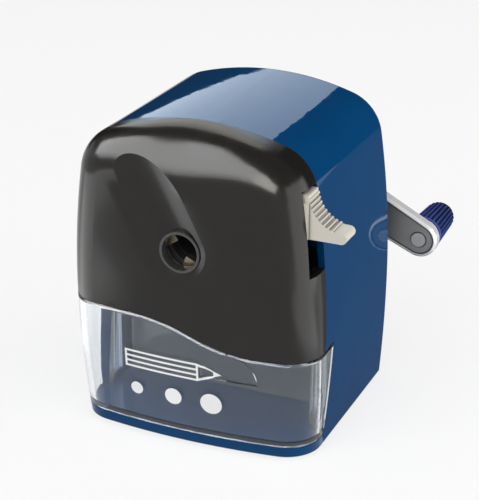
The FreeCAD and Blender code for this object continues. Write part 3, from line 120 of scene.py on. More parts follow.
class SharpenerStage(PropertyGroup):
    """Camera, lamps and floor."""

    azimuth: angle_property("Azimuth", "Camera's turn to the right of the front", 24.053)
    elevation: angle_property("Elevation", "Camera's angle above the floor", 23.62)
    distance: length_property("Distance", "From the camera to the point it looks at", 0.61296)
    look_at: FloatVectorProperty(name="Look at", description="Point on the camera's axis", subtype="XYZ",
                                 unit="LENGTH", size=3, default=(-0.0003, -0.00175, 0.0549))
    focal_length: FloatProperty(name="Focal length", description="Camera's lens", unit="CAMERA",
                                default=133.89)
    shift_x: number_property("Shift X", "Camera's sideways shift", 0.0187)
    shift_y: number_property("Shift Y", "Camera's upright shift", -0.0029)
    floor_white: share_property("Floor white", "Brightness of the floor", 0.92)
    floor_own: share_property("Floor's own white", "Share of the floor's white that needs no lamp", 0.75)
    world_grey: share_property("World grey", "Brightness of the surroundings", 0.2)
    top_light: number_property("Top light", "Radiance of the cloth overhead", 0.8)
    front_light: number_property("Front light", "Radiance of the cloth at the front", 2.15)
    right_light: number_property("Right light", "Radiance of the cloth at the right", 5.3)
    brow_gloss: number_property("Brow gloss", "Radiance mirrored by the cover's brow", 10.4)
    spot_gloss: number_property("Spot gloss", "Radiance mirrored at the brow's right end", 14.0)
    crown_gloss: number_property("Crown gloss", "Radiance mirrored by the casing's crown", 3.1)
    seam_gloss: number_property("Seam gloss", "Radiance mirrored along the seam", 2.8)
    rear_dark: number_property("Rear dark", "Radiance of the dark cloth that stands behind", 0.02)
    floor_dark: number_property("Floor dark", "Radiance of the dark cloth on the floor behind", 0.16)
    card_gloss: number_property("Card gloss", "Radiance of the cards mirrored at the sides", 3.0)


def settings(context):
    return context.scene.sharpener_finishes


def middle(box):
    """The centre of a box given by its two corners."""
    return (box[0] + box[1]) / 2


def shaded(colour, share):
    """A colour made darker or lighter by a share."""
    return tuple(min(1.0, share * part) for part in colour)


# Shader nodes

def add_node(tree, kind, **values):
    """Add a node and set its properties."""
    made = tree.nodes.new(kind)
    for name, value in values.items():
        setattr(made, name, value)
    return made


def find_node(tree, kind):
    """The first node of a kind."""
    return next(item for item in tree.nodes if item.type == kind)


def set_inputs(made, **values):
    """Set sockets by name, with _ for a space."""
    for name, value in values.items():
        made.inputs[name.replace("_", " ")].default_value = value
    return made


def feed(tree, socket, value):
    """Link an input to another node's socket, or set it to a plain value."""
    if isinstance(value, bpy.types.NodeSocket):
        tree.links.new(value, socket)
    elif value is not None:
        socket.default_value = value


def maths(tree, operation, first, second=None, clamp=False):
    """A Math node on two sockets or numbers, as its output socket."""
    made = add_node(tree, "ShaderNodeMath", operation=operation, use_clamp=clamp)
    feed(tree, made.inputs[0], first)
    feed(tree, made.inputs[1], second)
    return made.outputs["Value"]


def product(tree, first, *others):
    """A socket times other sockets or numbers."""
    for other in others:
        first = maths(tree, "MULTIPLY", first, other)
    return first


def vector_maths(tree, operation, first, second=None):
    """A Vector Math node on two sockets or triples, as its output socket."""
    made = add_node(tree, "ShaderNodeVectorMath", operation=operation)
    feed(tree, made.inputs[0], first)
    feed(tree, made.inputs[1], second)
    return made.outputs["Value" if operation in ("DOT_PRODUCT", "LENGTH") else "Vector"]


def scaled_vector(tree, vector, scale):
    """A fixed vector scaled by a socket."""
    made = add_node(tree, "ShaderNodeVectorMath", operation="SCALE")
    feed(tree, made.inputs[0], vector)
    feed(tree, made.inputs["Scale"], scale)
    return made.outputs["Vector"]


def own_space(tree, kind="Object"):
    """A point's place in the piece's own space, or its normal there."""
    return add_node(tree, "ShaderNodeTexCoord").outputs[kind]


def axes(tree, vector):
    """The sockets X, Y and Z of a vector."""
    made = add_node(tree, "ShaderNodeSeparateXYZ")
    tree.links.new(vector, made.inputs["Vector"])
    return made.outputs


def world_normal(tree, normal):
    """A normal of the piece's own space, turned to the world's."""
    made = add_node(tree, "ShaderNodeVectorTransform", vector_type="NORMAL", convert_from="OBJECT",
                    convert_to="WORLD")
    tree.links.new(normal, made.inputs["Vector"])
    return made.outputs["Vector"]


def ranged(tree, value, low, high, to_low=0.0, to_high=1.0, smooth=True):
    """Map a value from one range to another, held at both ends."""
    made = add_node(tree, "ShaderNodeMapRange", interpolation_type="SMOOTHSTEP" if smooth else "LINEAR")
    tree.links.new(value, made.inputs["Value"])
    for name, number in (("From Min", low), ("From Max", high), ("To Min", to_low), ("To Max", to_high)):
        feed(tree, made.inputs[name], number)
    return made.outputs["Result"]


def falling(tree, value, low, high, full=1.0, smooth=True):
    """A share that is full up to a low value, and nothing from a high value on."""
    return ranged(tree, value, low, high, full, 0.0, smooth)


def mixed(tree, factor, first, second):
    """Mix two colours, each a socket or an RGB triple."""
    made = add_node(tree, "ShaderNodeMix", data_type="RGBA")
    tree.links.new(factor, made.inputs["Factor"])
    for name, value in (("A", first), ("B", second)):
        socket = next(item for item in made.inputs if item.name == name and item.type == "RGBA")
        feed(tree, socket, value if isinstance(value, bpy.types.NodeSocket) else (*value, 1))
    return next(item for item in made.outputs if item.type == "RGBA")


def darkened(tree, colour, share):
    """A colour socket with its brightness cut to a share."""
    made = add_node(tree, "ShaderNodeHueSaturation")
    tree.links.new(colour, made.inputs["Color"])
    tree.links.new(share, made.inputs["Value"])
    return made.outputs["Color"]


def noise(tree, place, scale, detail=3.0):
    """A noise value at a place, with its scale as a number or a socket."""
    made = set_inputs(add_node(tree, "ShaderNodeTexNoise"), Detail=detail)
    tree.links.new(place, made.inputs["Vector"])
    feed(tree, made.inputs["Scale"], scale)
    return made.outputs["Fac"]


def blend_shaders(tree, share, first, second, output):
    """Mix two shaders into a material's surface."""
    blend = add_node(tree, "ShaderNodeMixShader")
    for socket, value in zip(blend.inputs, (share, first, second)):
        tree.links.new(value, socket)
    tree.links.new(blend.outputs["Shader"], output.inputs["Surface"])


def new_group(name, inputs, outputs):
    """A shader node group, and its sockets in and out. They are values, unless called Colour or Normal."""
    tree = bpy.data.node_groups.new(name, "ShaderNodeTree")
    kinds = {"Colour": "NodeSocketColor", "Normal": "NodeSocketVector"}
    for way, labels in (("INPUT", inputs), ("OUTPUT", outputs)):
        for label in labels:
            kind = kinds.get(label, "NodeSocketFloat")
            tree.interface.new_socket(name=label, in_out=way, socket_type=kind)
    return tree, add_node(tree, "NodeGroupInput").outputs, add_node(tree, "NodeGroupOutput").inputs


def link_surface(tree, given, out, darkening, cloud, marks, height):
    """Link a surface group's outputs: a colour that clouds darken, gloss that follows marks, and a relief."""
    mark_range = (0.25, 0.75)
    darker = darkened(tree, given["Colour"], maths(tree, "SUBTRACT", 1.0, darkening))
    tree.links.new(mixed(tree, cloud, given["Colour"], darker), out["Colour"])
    gloss = ranged(tree, marks, *mark_range, given["Low Gloss"], given["High Gloss"])
    tree.links.new(gloss, out["Roughness"])
    tree.links.new(height, out["Height"])


def moulded_group():
    """Moulded plastic: a slow drift of tone, gloss that wanders, and a fine spark grain."""
    if "moulded_plastic" in bpy.data.node_groups:
        return bpy.data.node_groups["moulded_plastic"]
    inputs = ("Colour", "Drift", "Low Gloss", "High Gloss", "Grain Cells")
    tree, given, out = new_group("moulded_plastic", inputs, ("Colour", "Roughness", "Height"))
    drift_cells, drift_range, gloss_cells, grain_detail = 38.0, (0.3, 0.7), 160.0, 2.0
    place = own_space(tree)
    drift = ranged(tree, noise(tree, place, drift_cells), *drift_range)
    wander = noise(tree, place, gloss_cells)
    grain = noise(tree, place, given["Grain Cells"], grain_detail)
    link_surface(tree, given, out, given["Drift"], drift, wander, grain)
    return tree


def worked_group():
    """Worked metal: fine marks drawn out along Y, with a little tarnish between them."""
    if "worked_metal" in bpy.data.node_groups:
        return bpy.data.node_groups["worked_metal"]
    inputs = ("Colour", "Tarnish", "Low Gloss", "High Gloss", "Mark Cells")
    tree, given, out = new_group("worked_metal", inputs, ("Colour", "Roughness", "Height"))
    cloud_cells, cloud_range, drawn_out, mark_detail = 220.0, (0.4, 0.75), (1.0, 0.08, 1.0), 4.0
    place = own_space(tree)
    drawn = set_inputs(add_node(tree, "ShaderNodeMapping"), Scale=drawn_out)
    tree.links.new(place, drawn.inputs["Vector"])
    marks = noise(tree, drawn.outputs["Vector"], given["Mark Cells"], mark_detail)
    cloud = ranged(tree, noise(tree, place, cloud_cells), *cloud_range)
    link_surface(tree, given, out, given["Tarnish"], cloud, marks, marks)
    return tree


def new_material(name):
    """A new material: itself, its tree, its Principled node and its output."""
    made = bpy.data.materials.new(name)
    made.use_nodes = True
    tree = made.node_tree
    tree.nodes.clear()
    shader = add_node(tree, "ShaderNodeBsdfPrincipled")
    output = add_node(tree, "ShaderNodeOutputMaterial")
    tree.links.new(shader.outputs["BSDF"], output.inputs["Surface"])
    return made, tree, shader, output


def raise_surface(tree, shader, height, distance):
    """Feed a height to the shader's normal, and hand back its Bump node."""
    bump = set_inputs(add_node(tree, "ShaderNodeBump"), Strength=1.0, Distance=distance)
    tree.links.new(height, bump.inputs["Height"])
    tree.links.new(bump.outputs["Normal"], shader.inputs["Normal"])
    return bump


def grouped_material(name, group, colour, depth, **values):
    """A material from a surface group, with its relief's depth in metres: itself and its Principled node."""
    made, tree, shader, _ = new_material(name)
    placed = add_node(tree, "ShaderNodeGroup", node_tree=group)
    set_inputs(placed, Colour=(*colour, 1), **values)
    tree.links.new(placed.outputs["Colour"], shader.inputs["Base Color"])
    tree.links.new(placed.outputs["Roughness"], shader.inputs["Roughness"])
    raise_surface(tree, shader, placed.outputs["Height"], depth)
    return made, shader


def plastic(name, colour, roughness, gloss, drift=0.08, wander=0.04, grain_cells=5200.0,
            grain_depth=0.004 * MM):
    """A moulded plastic, with its grain's depth in metres."""
    made, shader = grouped_material(name, moulded_group(), colour, grain_depth, Drift=drift,
                                    Low_Gloss=roughness, High_Gloss=roughness + wander,
                                    Grain_Cells=grain_cells)
    set_inputs(shader, Specular_IOR_Level=gloss)
    return made


def metal(name, colour, roughness, metallic=1.0, tarnish=0.2, wander=0.12, mark_cells=2600.0,
          mark_depth=0.006 * MM):
    """A worked metal, with its marks' depth in metres."""
    made, shader = grouped_material(name, worked_group(), colour, mark_depth, Tarnish=tarnish,
                                    Low_Gloss=roughness, High_Gloss=roughness + wander,
                                    Mark_Cells=mark_cells)
    set_inputs(shader, Metallic=metallic)
    return made


def rim_share(tree, place):
    """How far a point of the drawer lies up its rounded rim: two level stretches joined by two bends."""
    high, low, start, run = 44.9 * MM, 35.7 * MM, -18.6 * MM, 44.0 * MM
    round_top, round_foot, full_turn = 0.45 * MM, 1.35 * MM, 1.15
    drop = high - low
    along = maths(tree, "DIVIDE", maths(tree, "SUBTRACT", place["X"], start), run, clamp=True)
    first = maths(tree, "MINIMUM", along, 0.5)
    second = maths(tree, "SUBTRACT", 1.0, maths(tree, "MAXIMUM", along, 0.5))
    first_drop = product(tree, first, first, 2.0 * drop)
    second_rise = product(tree, second, second, 2.0 * drop)
    dropped = maths(tree, "SUBTRACT", high - drop / 2, first_drop)
    edge = maths(tree, "ADD", dropped, second_rise)
    below = maths(tree, "SUBTRACT", edge, place["Z"])
    return falling(tree, below, round_top, round_foot, full_turn, smooth=False)


def painted_edge_glow(tree, here, place):
    """Painted glow at the drawer's edges, standing in for light that its plastic would carry there, and a
    mask of its line along the floor.
    """
    facing = axes(tree, own_space(tree, "Normal"))
    height = maths(tree, "SUBTRACT", place["Z"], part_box("drawer")[0].z)
    # Painted glow: the floor's upright edge glows in front, unevenly along its lowest line, though no lamp is
    # there
    edge_glow_paint, line_glow_paint = (0.028, 0.036, 0.05), (0.3, 0.34, 0.37)
    front_end, edge_top, line_top = (-26.0 * MM, -25.0 * MM), (1.6 * MM, 2.1 * MM), (0.2 * MM, 0.9 * MM)
    level_turn, line_full = (0.3, 0.7), 0.9
    fleck_cells, fleck_range, fleck_shares = 160.0, (0.42, 0.62), (0.2, 1.0)
    upright = falling(tree, maths(tree, "ABSOLUTE", facing["Z"]), *level_turn)
    upright = product(tree, upright, falling(tree, place["Y"], *front_end))
    edge = product(tree, falling(tree, height, *edge_top), upright)
    line = product(tree, falling(tree, height, *line_top, full=line_full), upright)
    flecks = ranged(tree, noise(tree, here, fleck_cells), *fleck_range, *fleck_shares)
    floor_painted_glow = mixed(tree, product(tree, line, flecks), edge_glow_paint, line_glow_paint)
    # Painted glow: the tray's side walls glow from the front back to a bright line across them
    wall_glow_paint, stripe_glow_paint = (0.075, 0.088, 0.105), (0.3, 0.33, 0.36)
    side_turn, wall_side, wall_foot = (0.9, 0.97), (38.0 * MM, 38.4 * MM), (4.6 * MM, 5.2 * MM)
    stripe_front, stripe_rear = (-13.4 * MM, -13.0 * MM), (-12.4 * MM, -12.0 * MM)
    aside = ranged(tree, maths(tree, "ABSOLUTE", facing["X"]), *side_turn)
    inside = falling(tree, maths(tree, "ABSOLUTE", place["X"]), *wall_side)
    lit = falling(tree, place["Y"], *stripe_rear)
    wall = product(tree, aside, inside, ranged(tree, height, *wall_foot), lit)
    stripe = product(tree, lit, ranged(tree, place["Y"], *stripe_front))
    wall_painted_glow = mixed(tree, wall, (0, 0, 0), mixed(tree, stripe, wall_glow_paint, stripe_glow_paint))
    return mixed(tree, edge, wall_painted_glow, floor_painted_glow), line


def clear_plastic(name, tint, shade):
    """The drawer's clear plastic: polished faces, a rounded rim under the cover that catches the light, and
    edges with a painted glow, as if the plastic carried the light inside to them."""
    made, tree, shader, output = new_material(name)
    set_inputs(shader, Base_Color=(*tint, 1), Transmission_Weight=1.0, IOR=1.47, Emission_Strength=1.0)
    flow_cells, flow_range, flow_dullness, rim_dullness = 90.0, (0.35, 0.7), (0.015, 0.05), 0.2
    wave_cells, wave_detail, wave_depth = 60.0, 1.0, 0.05 * MM
    here = own_space(tree)
    place = axes(tree, here)
    rim = rim_share(tree, place)
    # Painted glow: an emission colour at the drawer's edges, not a lamp
    glow, floor_line = painted_edge_glow(tree, here, place)
    tree.links.new(glow, shader.inputs["Emission Color"])
    flow = ranged(tree, noise(tree, here, flow_cells), *flow_range, *flow_dullness)
    tree.links.new(maths(tree, "ADD", flow, product(tree, rim, rim_dullness)), shader.inputs["Roughness"])
    # Normals turn upward in the rim and on the floor edge's lowest line
    lift = add_node(tree, "ShaderNodeCombineXYZ")
    tree.links.new(maths(tree, "MAXIMUM", rim, floor_line), lift.inputs["Z"])
    lifted = vector_maths(tree, "ADD", own_space(tree, "Normal"), lift.outputs["Vector"])
    bump = raise_surface(tree, shader, noise(tree, here, wave_cells, wave_detail), wave_depth)
    rolled = world_normal(tree, vector_maths(tree, "NORMALIZE", lifted))
    tree.links.new(rolled, bump.inputs["Normal"])
    # Shadow rays let part of the lamps' light into the drawer
    passing = set_inputs(add_node(tree, "ShaderNodeBsdfTransparent"), Color=(*shade, 1))
    rays = add_node(tree, "ShaderNodeLightPath")
    shadow = rays.outputs["Is Shadow Ray"]
    blend_shaders(tree, shadow, shader.outputs["BSDF"], passing.outputs["BSDF"], output)
    return made


def rolled_scoop_group():
    """Normals that roll softly over the edge of the cover's leaning scoop, in world space."""
    if "rolled_scoop" in bpy.data.node_groups:
        return bpy.data.node_groups["rolled_scoop"]
    tree, _, out = new_group("rolled_scoop", (), ("Normal",))
    # The face is taken a little ahead of the solid's, which keeps the roll narrow
    face, radius, depth, tilt = -43.1 * MM, 20.0 * MM, 2.4 * MM, math.radians(28.6)
    face_run, scoop_turn, brow_foot = 4.5 * MM, (0.87, 0.985), (86.0 * MM, 91.0 * MM)
    centre = middle(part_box("inlet_ring"))
    centre.y = face + depth - radius
    axis = (-math.sin(tilt), 0, math.cos(tilt))
    here = own_space(tree)
    place = vector_maths(tree, "SUBTRACT", here, centre)
    along = maths(tree, "MAXIMUM", vector_maths(tree, "DOT_PRODUCT", place, axis), 0.0)
    spoke = vector_maths(tree, "SUBTRACT", scaled_vector(tree, axis, along), place)
    beyond = maths(tree, "SUBTRACT", vector_maths(tree, "LENGTH", spoke), radius)
    inward = vector_maths(tree, "NORMALIZE", spoke)
    ahead = (0, -1, 0)
    square = vector_maths(tree, "DOT_PRODUCT", inward, ahead)
    # Most by the edge, and nothing a little way off on either side of it or up on the brow
    on_face = falling(tree, beyond, 0.0, face_run)
    on_scoop = falling(tree, square, *scoop_turn)
    below_brow = falling(tree, axes(tree, here)["Z"], *brow_foot)
    share = product(tree, on_face, on_scoop, below_brow)
    shared = vector_maths(tree, "NORMALIZE", vector_maths(tree, "ADD", inward, ahead))
    blend = add_node(tree, "ShaderNodeMix", data_type="VECTOR")
    tree.links.new(share, blend.inputs["Factor"])
    first, second = [item for item in blend.inputs if item.type == "VECTOR" and item.name in "AB"]
    tree.links.new(own_space(tree, "Normal"), first)
    tree.links.new(shared, second)
    blended = next(item for item in blend.outputs if item.type == "VECTOR")
    rolled = world_normal(tree, vector_maths(tree, "NORMALIZE", blended))
    tree.links.new(rolled, out["Normal"])
    return tree


def cover_plastic(name, colour, roughness, gloss, seam_gloss):
    """The cover's satin plastic, duller on top beside the seam, with a soft edge round the scoop."""
    made = plastic(name, colour, roughness, gloss, drift=0.1, grain_cells=3600.0)
    tree = made.node_tree
    scoop = add_node(tree, "ShaderNodeGroup", node_tree=rolled_scoop_group())
    tree.links.new(scoop.outputs["Normal"], find_node(tree, "BUMP").inputs["Normal"])
    normal = axes(tree, own_space(tree, "Normal"))
    facing_ahead, facing_up = -0.2, 0.0
    turned = ranged(tree, normal["Y"], facing_ahead, facing_up, gloss, seam_gloss)
    tree.links.new(turned, find_node(tree, "BSDF_PRINCIPLED").inputs["Specular IOR Level"])
    return made


def arm_metal(name, bright, panel):
    """The crank arm's alloy: bright rims and edges round a dull sunk face, with painted shade on it: darker
    towards the shaft, and a dark line at its edge and round the rivet.
    """
    made = metal(name, bright, roughness=0.24, metallic=0.35, tarnish=0.06, wander=0.03, mark_cells=900.0,
                 mark_depth=0.0003 * MM)
    tree = made.node_tree
    shader = find_node(tree, "BSDF_PRINCIPLED")
    group = find_node(tree, "GROUP")
    thickness, sunk, rim, hub_radius, end_radius = 4.5 * MM, 0.3 * MM, 1.1 * MM, 8.5 * MM, 6.5 * MM
    shade_line_width, shade_ring_width, shade_line_black = (0.35 * MM, 0.75 * MM), (0.2 * MM, 0.5 * MM), (0.008, 0.008, 0.008)
    painted_shaft_shade, painted_shade_run, floor_dullness, square_on = 0.15, (0.5, 1.0), 0.3, -0.9
    here = own_space(tree)
    floor_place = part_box("crank_arm")[1].y - thickness + sunk
    from_floor = maths(tree, "ABSOLUTE", maths(tree, "SUBTRACT", axes(tree, here)["Y"], floor_place))
    on_floor = maths(tree, "LESS_THAN", from_floor, sunk / 3)
    facing = maths(tree, "LESS_THAN", axes(tree, own_space(tree, "Normal"))["Y"], square_on)
    floor = product(tree, on_floor, facing)
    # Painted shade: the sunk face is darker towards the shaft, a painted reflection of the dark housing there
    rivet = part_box("knob_rivet")
    hub = middle(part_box("crank_shaft"))
    end = middle(rivet)
    flat = vector_maths(tree, "MULTIPLY", vector_maths(tree, "SUBTRACT", here, hub), (1, 0, 1))
    reach = Vector((end.x - hub.x, 0, end.z - hub.z))
    run = vector_maths(tree, "DOT_PRODUCT", flat, reach)
    share = maths(tree, "DIVIDE", run, reach.length_squared, clamp=True)
    painted_shade_graded = mixed(tree, ranged(tree, share, *painted_shade_run), shaded(panel, painted_shaft_shade), panel)
    # Painted shade: a dark line runs round the rivet and round the sunk face, which narrows from the hub to
    # the knob's end
    off_line = vector_maths(tree, "SUBTRACT", flat, scaled_vector(tree, reach, share))
    half_width = ranged(tree, share, 0.0, 1.0, hub_radius - rim, end_radius - rim, smooth=False)
    to_edge = maths(tree, "SUBTRACT", half_width, vector_maths(tree, "LENGTH", off_line))
    rivet_radius = (rivet[1].x - rivet[0].x) / 2
    from_middle = vector_maths(tree, "LENGTH", vector_maths(tree, "SUBTRACT", flat, reach))
    from_rivet = maths(tree, "SUBTRACT", from_middle, rivet_radius)
    line = falling(tree, to_edge, *shade_line_width)
    ring = falling(tree, from_rivet, *shade_ring_width)
    shade_outlined = mixed(tree, maths(tree, "MAXIMUM", line, ring), painted_shade_graded, shade_line_black)
    tree.links.new(mixed(tree, floor, group.outputs["Colour"], shade_outlined), shader.inputs["Base Color"])
    dull = maths(tree, "ADD", group.outputs["Roughness"], product(tree, floor, floor_dullness))
    tree.links.new(dull, shader.inputs["Roughness"])
    return made


def knob_plastic(name, colour):
    """The knob's plastic: a painted highlight lightens its ridges and painted shade darkens the flutes
    between them.
    """
    made = plastic(name, colour, roughness=0.22, gloss=0.12, drift=0.1)
    tree = made.node_tree
    base_radius, end_radius, ridge_depth = 6.2 * MM, 5.2 * MM, (0.05 * MM, 0.45 * MM)
    ridge_highlight_share, flute_shade_share = 2.0, 0.3
    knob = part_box("knob")
    place = vector_maths(tree, "SUBTRACT", own_space(tree), middle(knob))
    from_axis = vector_maths(tree, "LENGTH", vector_maths(tree, "MULTIPLY", place, (1, 0, 1)))
    # The grip tapers from its base to its end
    half = (knob[1].y - knob[0].y) / 2
    outside = ranged(tree, axes(tree, place)["Y"], -half, half, base_radius, end_radius, smooth=False)
    # Painted highlight on the ridges and painted shade in the flutes, by the distance from the axis
    ridge = falling(tree, maths(tree, "SUBTRACT", outside, from_axis), *ridge_depth)
    painted_light_tones = mixed(tree, ridge, shaded(colour, flute_shade_share), shaded(colour, ridge_highlight_share))
    tree.links.new(painted_light_tones, find_node(tree, "GROUP").inputs["Colour"])
    return made


def shade_hollows(material, reach, share, start):
    """Darken a plastic deep between its own faces, to the right of a start in X."""
    tree = material.node_tree
    deepest, in_the_open, soft_start = 0.55, 0.95, 0.4 * MM
    hollow = add_node(tree, "ShaderNodeAmbientOcclusion", samples=8, only_local=True)
    set_inputs(hollow, Distance=reach)
    deep = ranged(tree, hollow.outputs["AO"], deepest, in_the_open, share, 1.0)
    place = axes(tree, own_space(tree))
    before = falling(tree, place["X"], start, start + soft_start)
    plain = find_node(tree, "GROUP").outputs["Colour"]
    darker = darkened(tree, plain, maths(tree, "MAXIMUM", deep, before))
    tree.links.new(darker, find_node(tree, "BSDF_PRINCIPLED").inputs["Base Color"])
    return material


# Pieces

def dress(material, *names):
    """Give CAD nodes a material."""
    for name in names:
        slots = NODES[name].data.materials
        slots.clear()
        slots.append(material)


def ease_edges(width, *names, segments=2):
    """Round the sharp edges of CAD nodes a little."""
    sharp = math.radians(35.0)
    for name in names:
        bevel = NODES[name].modifiers.new("eased_edges", "BEVEL")
        bevel.width = width
        bevel.segments = segments
        bevel.limit_method = "ANGLE"
        bevel.angle_limit = sharp
        bevel.harden_normals = False


class SHARPENER_OT_casing(Operator):
    """Finish the housing and its feet"""

    bl_idname = "sharpener.casing"
    bl_label = "Casing"

    def execute(self, context):
        looks = settings(context)
        blue = plastic("casing_blue", looks.casing_blue, looks.casing_roughness, looks.casing_gloss,
                       drift=0.06, wander=0.02, grain_cells=420.0)
        dress(blue, "housing")
        rubber = plastic("foot_rubber", looks.foot_rubber, roughness=0.7, gloss=0.3, grain_depth=0.02 * MM)
        dress(rubber, "rubber_feet")
        return {"FINISHED"}


class SHARPENER_OT_cover(Operator):
    """Finish the front cover"""

    bl_idname = "sharpener.cover"
    bl_label = "Front cover"

    def execute(self, context):
        looks = settings(context)
        charcoal = cover_plastic("cover_charcoal", looks.cover_charcoal, looks.cover_roughness,
                                 looks.cover_gloss, seam_gloss=looks.casing_gloss)
        dress(charcoal, "front_cover")
        return {"FINISHED"}


class SHARPENER_OT_drawer(Operator):
    """Finish the clear drawer"""

    bl_idname = "sharpener.drawer"
    bl_label = "Drawer"

    def execute(self, context):
        looks = settings(context)
        dress(clear_plastic("drawer_clear", looks.drawer_tint, looks.drawer_shade), "drawer")
        return {"FINISHED"}


class SHARPENER_OT_inlet(Operator):
    """Finish the pencil inlet's ring, the jaws and their pins"""

    bl_idname = "sharpener.inlet"
    bl_label = "Inlet and jaws"

    def execute(self, context):
        looks = settings(context)
        dress(plastic("ring_grey", looks.ring_grey, roughness=0.22, gloss=0.5), "inlet_ring")
        ease_edges(0.2 * MM, "inlet_ring")
        dress(metal("jaw_steel", looks.jaw_steel, roughness=0.3), "jaw_1", "jaw_2", "jaw_3")
        dress(metal("pin_steel", looks.steel, roughness=0.22), "jaw_pins")
        return {"FINISHED"}


class SHARPENER_OT_lever(Operator):
    """Finish the jaw lever with its spring and pins"""

    bl_idname = "sharpener.lever"
    bl_label = "Lever"

    def execute(self, context):
        looks = settings(context)
        cream = plastic("lever_cream", looks.lever_cream, roughness=0.42, gloss=0.4, drift=0.05)
        ribs_run = 12.4 * MM
        ribs_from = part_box("jaw_lever")[1].x - ribs_run
        dress(shade_hollows(cream, reach=1.6 * MM, share=0.12, start=ribs_from), "jaw_lever")
        bright = metal("spring_steel", looks.steel, roughness=0.18)
        dress(bright, "lever_spring", "spring_post", "spring_lug_pin")
        return {"FINISHED"}


class SHARPENER_OT_mechanism(Operator):
    """Finish the plate, gears, cutter head and chute inside the casing"""

    bl_idname = "sharpener.mechanism"
    bl_label = "Mechanism"

    def execute(self, context):
        looks = settings(context)
        black = plastic("inner_black", looks.inner_black, roughness=0.5, gloss=0.3)
        dress(black, "bearing_plate", "ring_gear", "cutter_carrier")
        dress(plastic("chute_slate", looks.chute_slate, roughness=0.5, gloss=0.3), "shavings_chute")
        ground = metal("cutter_steel", looks.cutter_steel, roughness=0.25, tarnish=0.3)
        dress(ground, "cutter", "cutter_pinion")
        dress(metal("screw_steel", looks.steel, roughness=0.24), "frame_screws", "cutter_axle")
        return {"FINISHED"}


class SHARPENER_OT_crank(Operator):
    """Finish the crank's shaft, bush, arm and rivet"""

    bl_idname = "sharpener.crank"
    bl_label = "Crank"

    def execute(self, context):
        looks = settings(context)
        dress(arm_metal("arm_alloy", looks.arm_alloy, looks.arm_panel), "crank_arm")
        turned = metal("shaft_steel", looks.steel, roughness=0.2)
        dress(turned, "crank_shaft", "shaft_clip", "crank_screw")
        plated = metal("rivet_steel", looks.rivet_steel, roughness=0.35, metallic=0.3, tarnish=0.05)
        dress(plated, "knob_rivet")
        ease_edges(0.3 * MM, "knob_rivet", segments=3)
        dress(metal("bush_brass", looks.bush_brass, roughness=0.3), "rear_bush")
        dress(plastic("washer_white", looks.washer_white, roughness=0.35, gloss=0.5), "knob_washer")
        return {"FINISHED"}


class SHARPENER_OT_knob(Operator):
    """Finish the fluted knob"""

    bl_idname = "sharpener.knob"
    bl_label = "Knob"

    def execute(self, context):
        dress(knob_plastic("knob_navy", settings(context).knob_navy), "knob")
        return {"FINISHED"}


# Sign on the drawer

def circle(radius, corners):
    """Points round a circle, evenly spaced from the first axis on."""
    turns = [2 * math.pi * corner / corners for corner in range(corners)]
    return [(radius * math.cos(turn), radius * math.sin(turn)) for turn in turns]


def pencil_outlines(sign):
    """A pencil lying level: its outline, three long slots in the barrel and one in the cone."""
    slots, cone_share, slant_lines, lead_share = 3, 1.25, 1.4, 0.66
    half = sign.thickness / 2
    cone = cone_share * sign.thickness
    neck = sign.length - cone
    outlines = [[(0, half), (0, -half), (neck, -half), (sign.length, 0), (neck, half)]]
    slot = (sign.thickness - (slots + 1) * sign.line) / slots
    slot_end = neck - sign.line / 2
    for number in range(slots):
        low = -half + sign.line + number * (slot + sign.line)
        outlines.append([(sign.line, low), (slot_end, low), (slot_end, low + slot), (sign.line, low + slot)])
    # The cone's slot stops short of the point, which stays solid
    wide = half - slant_lines * sign.line
    lead = lead_share * cone
    narrow = wide * (1 - lead / cone)
    cone_start = neck + sign.line / 2
    outlines.append([(cone_start, -wide), (neck + lead, -narrow), (neck + lead, narrow), (cone_start, wide)])
    return [[(sign.left + x, sign.height + z) for x, z in outline] for outline in outlines]


def dot_outlines(sign):
    """Round dots of growing size, evenly spaced below the pencil."""
    corners = 40
    outlines = []
    for number in range(sign.dots):
        share = number / max(1, sign.dots - 1)
        radius = (sign.smallest_dot + (sign.largest_dot - sign.smallest_dot) * share) / 2
        x = sign.left + sign.largest_dot / 2 + (sign.length - sign.largest_dot) * share
        z = sign.height - sign.dots_below
        outlines.append([(x + right, z + up) for right, up in circle(radius, corners)])
    return outlines


def filled_mesh(name, outlines, thickness):
    """A flat slab in X and Y from outlines, where an outline inside another is a hole."""
    curve = bpy.data.curves.new(name, "CURVE")
    curve.dimensions = "2D"
    curve.fill_mode = "BOTH"
    curve.extrude = thickness / 2
    for outline in outlines:
        spline = curve.splines.new("POLY")
        spline.points.add(len(outline) - 1)
        for point, (x, y) in zip(spline.points, outline):
            point.co = (x, y, 0, 1)
        spline.use_cyclic_u = True
    holder = bpy.data.objects.new(name, curve)
    mesh = bpy.data.meshes.new_from_object(holder)
    bpy.data.objects.remove(holder)
    bpy.data.curves.remove(curve)
    return mesh


def split_long_edges(shape, longest):
    """Cut a slab into small triangles, so that it can follow a bent wall."""
    passes = 4
    bmesh.ops.triangulate(shape, faces=shape.faces[:])
    for _ in range(passes):
        long_edges = [edge for edge in shape.edges if edge.calc_length() > longest]
        if long_edges:
            bmesh.ops.subdivide_edges(shape, edges=long_edges, cuts=1)
            bmesh.ops.triangulate(shape, faces=shape.faces[:])


def lay_on_drawer(shape):
    """Stand a slab up on the drawer's front. Half of it lies in the drawer's wall, and half stands out."""
    drawer = NODES["drawer"].data
    surface = BVHTree.FromPolygons([corner.co for corner in drawer.vertices],
                                   [face.vertices[:] for face in drawer.polygons])
    clear_of_it = 0.01
    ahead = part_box("drawer")[0].y - clear_of_it
    for corner in shape.verts:
        x, z, height = corner.co
        hit, _, _, _ = surface.ray_cast(Vector((x, ahead, z)), Vector((0, 1, 0)))
        if hit is None:
            raise RuntimeError("the sign reaches past the drawer's front")
        corner.co = (x, hit.y - height, z)


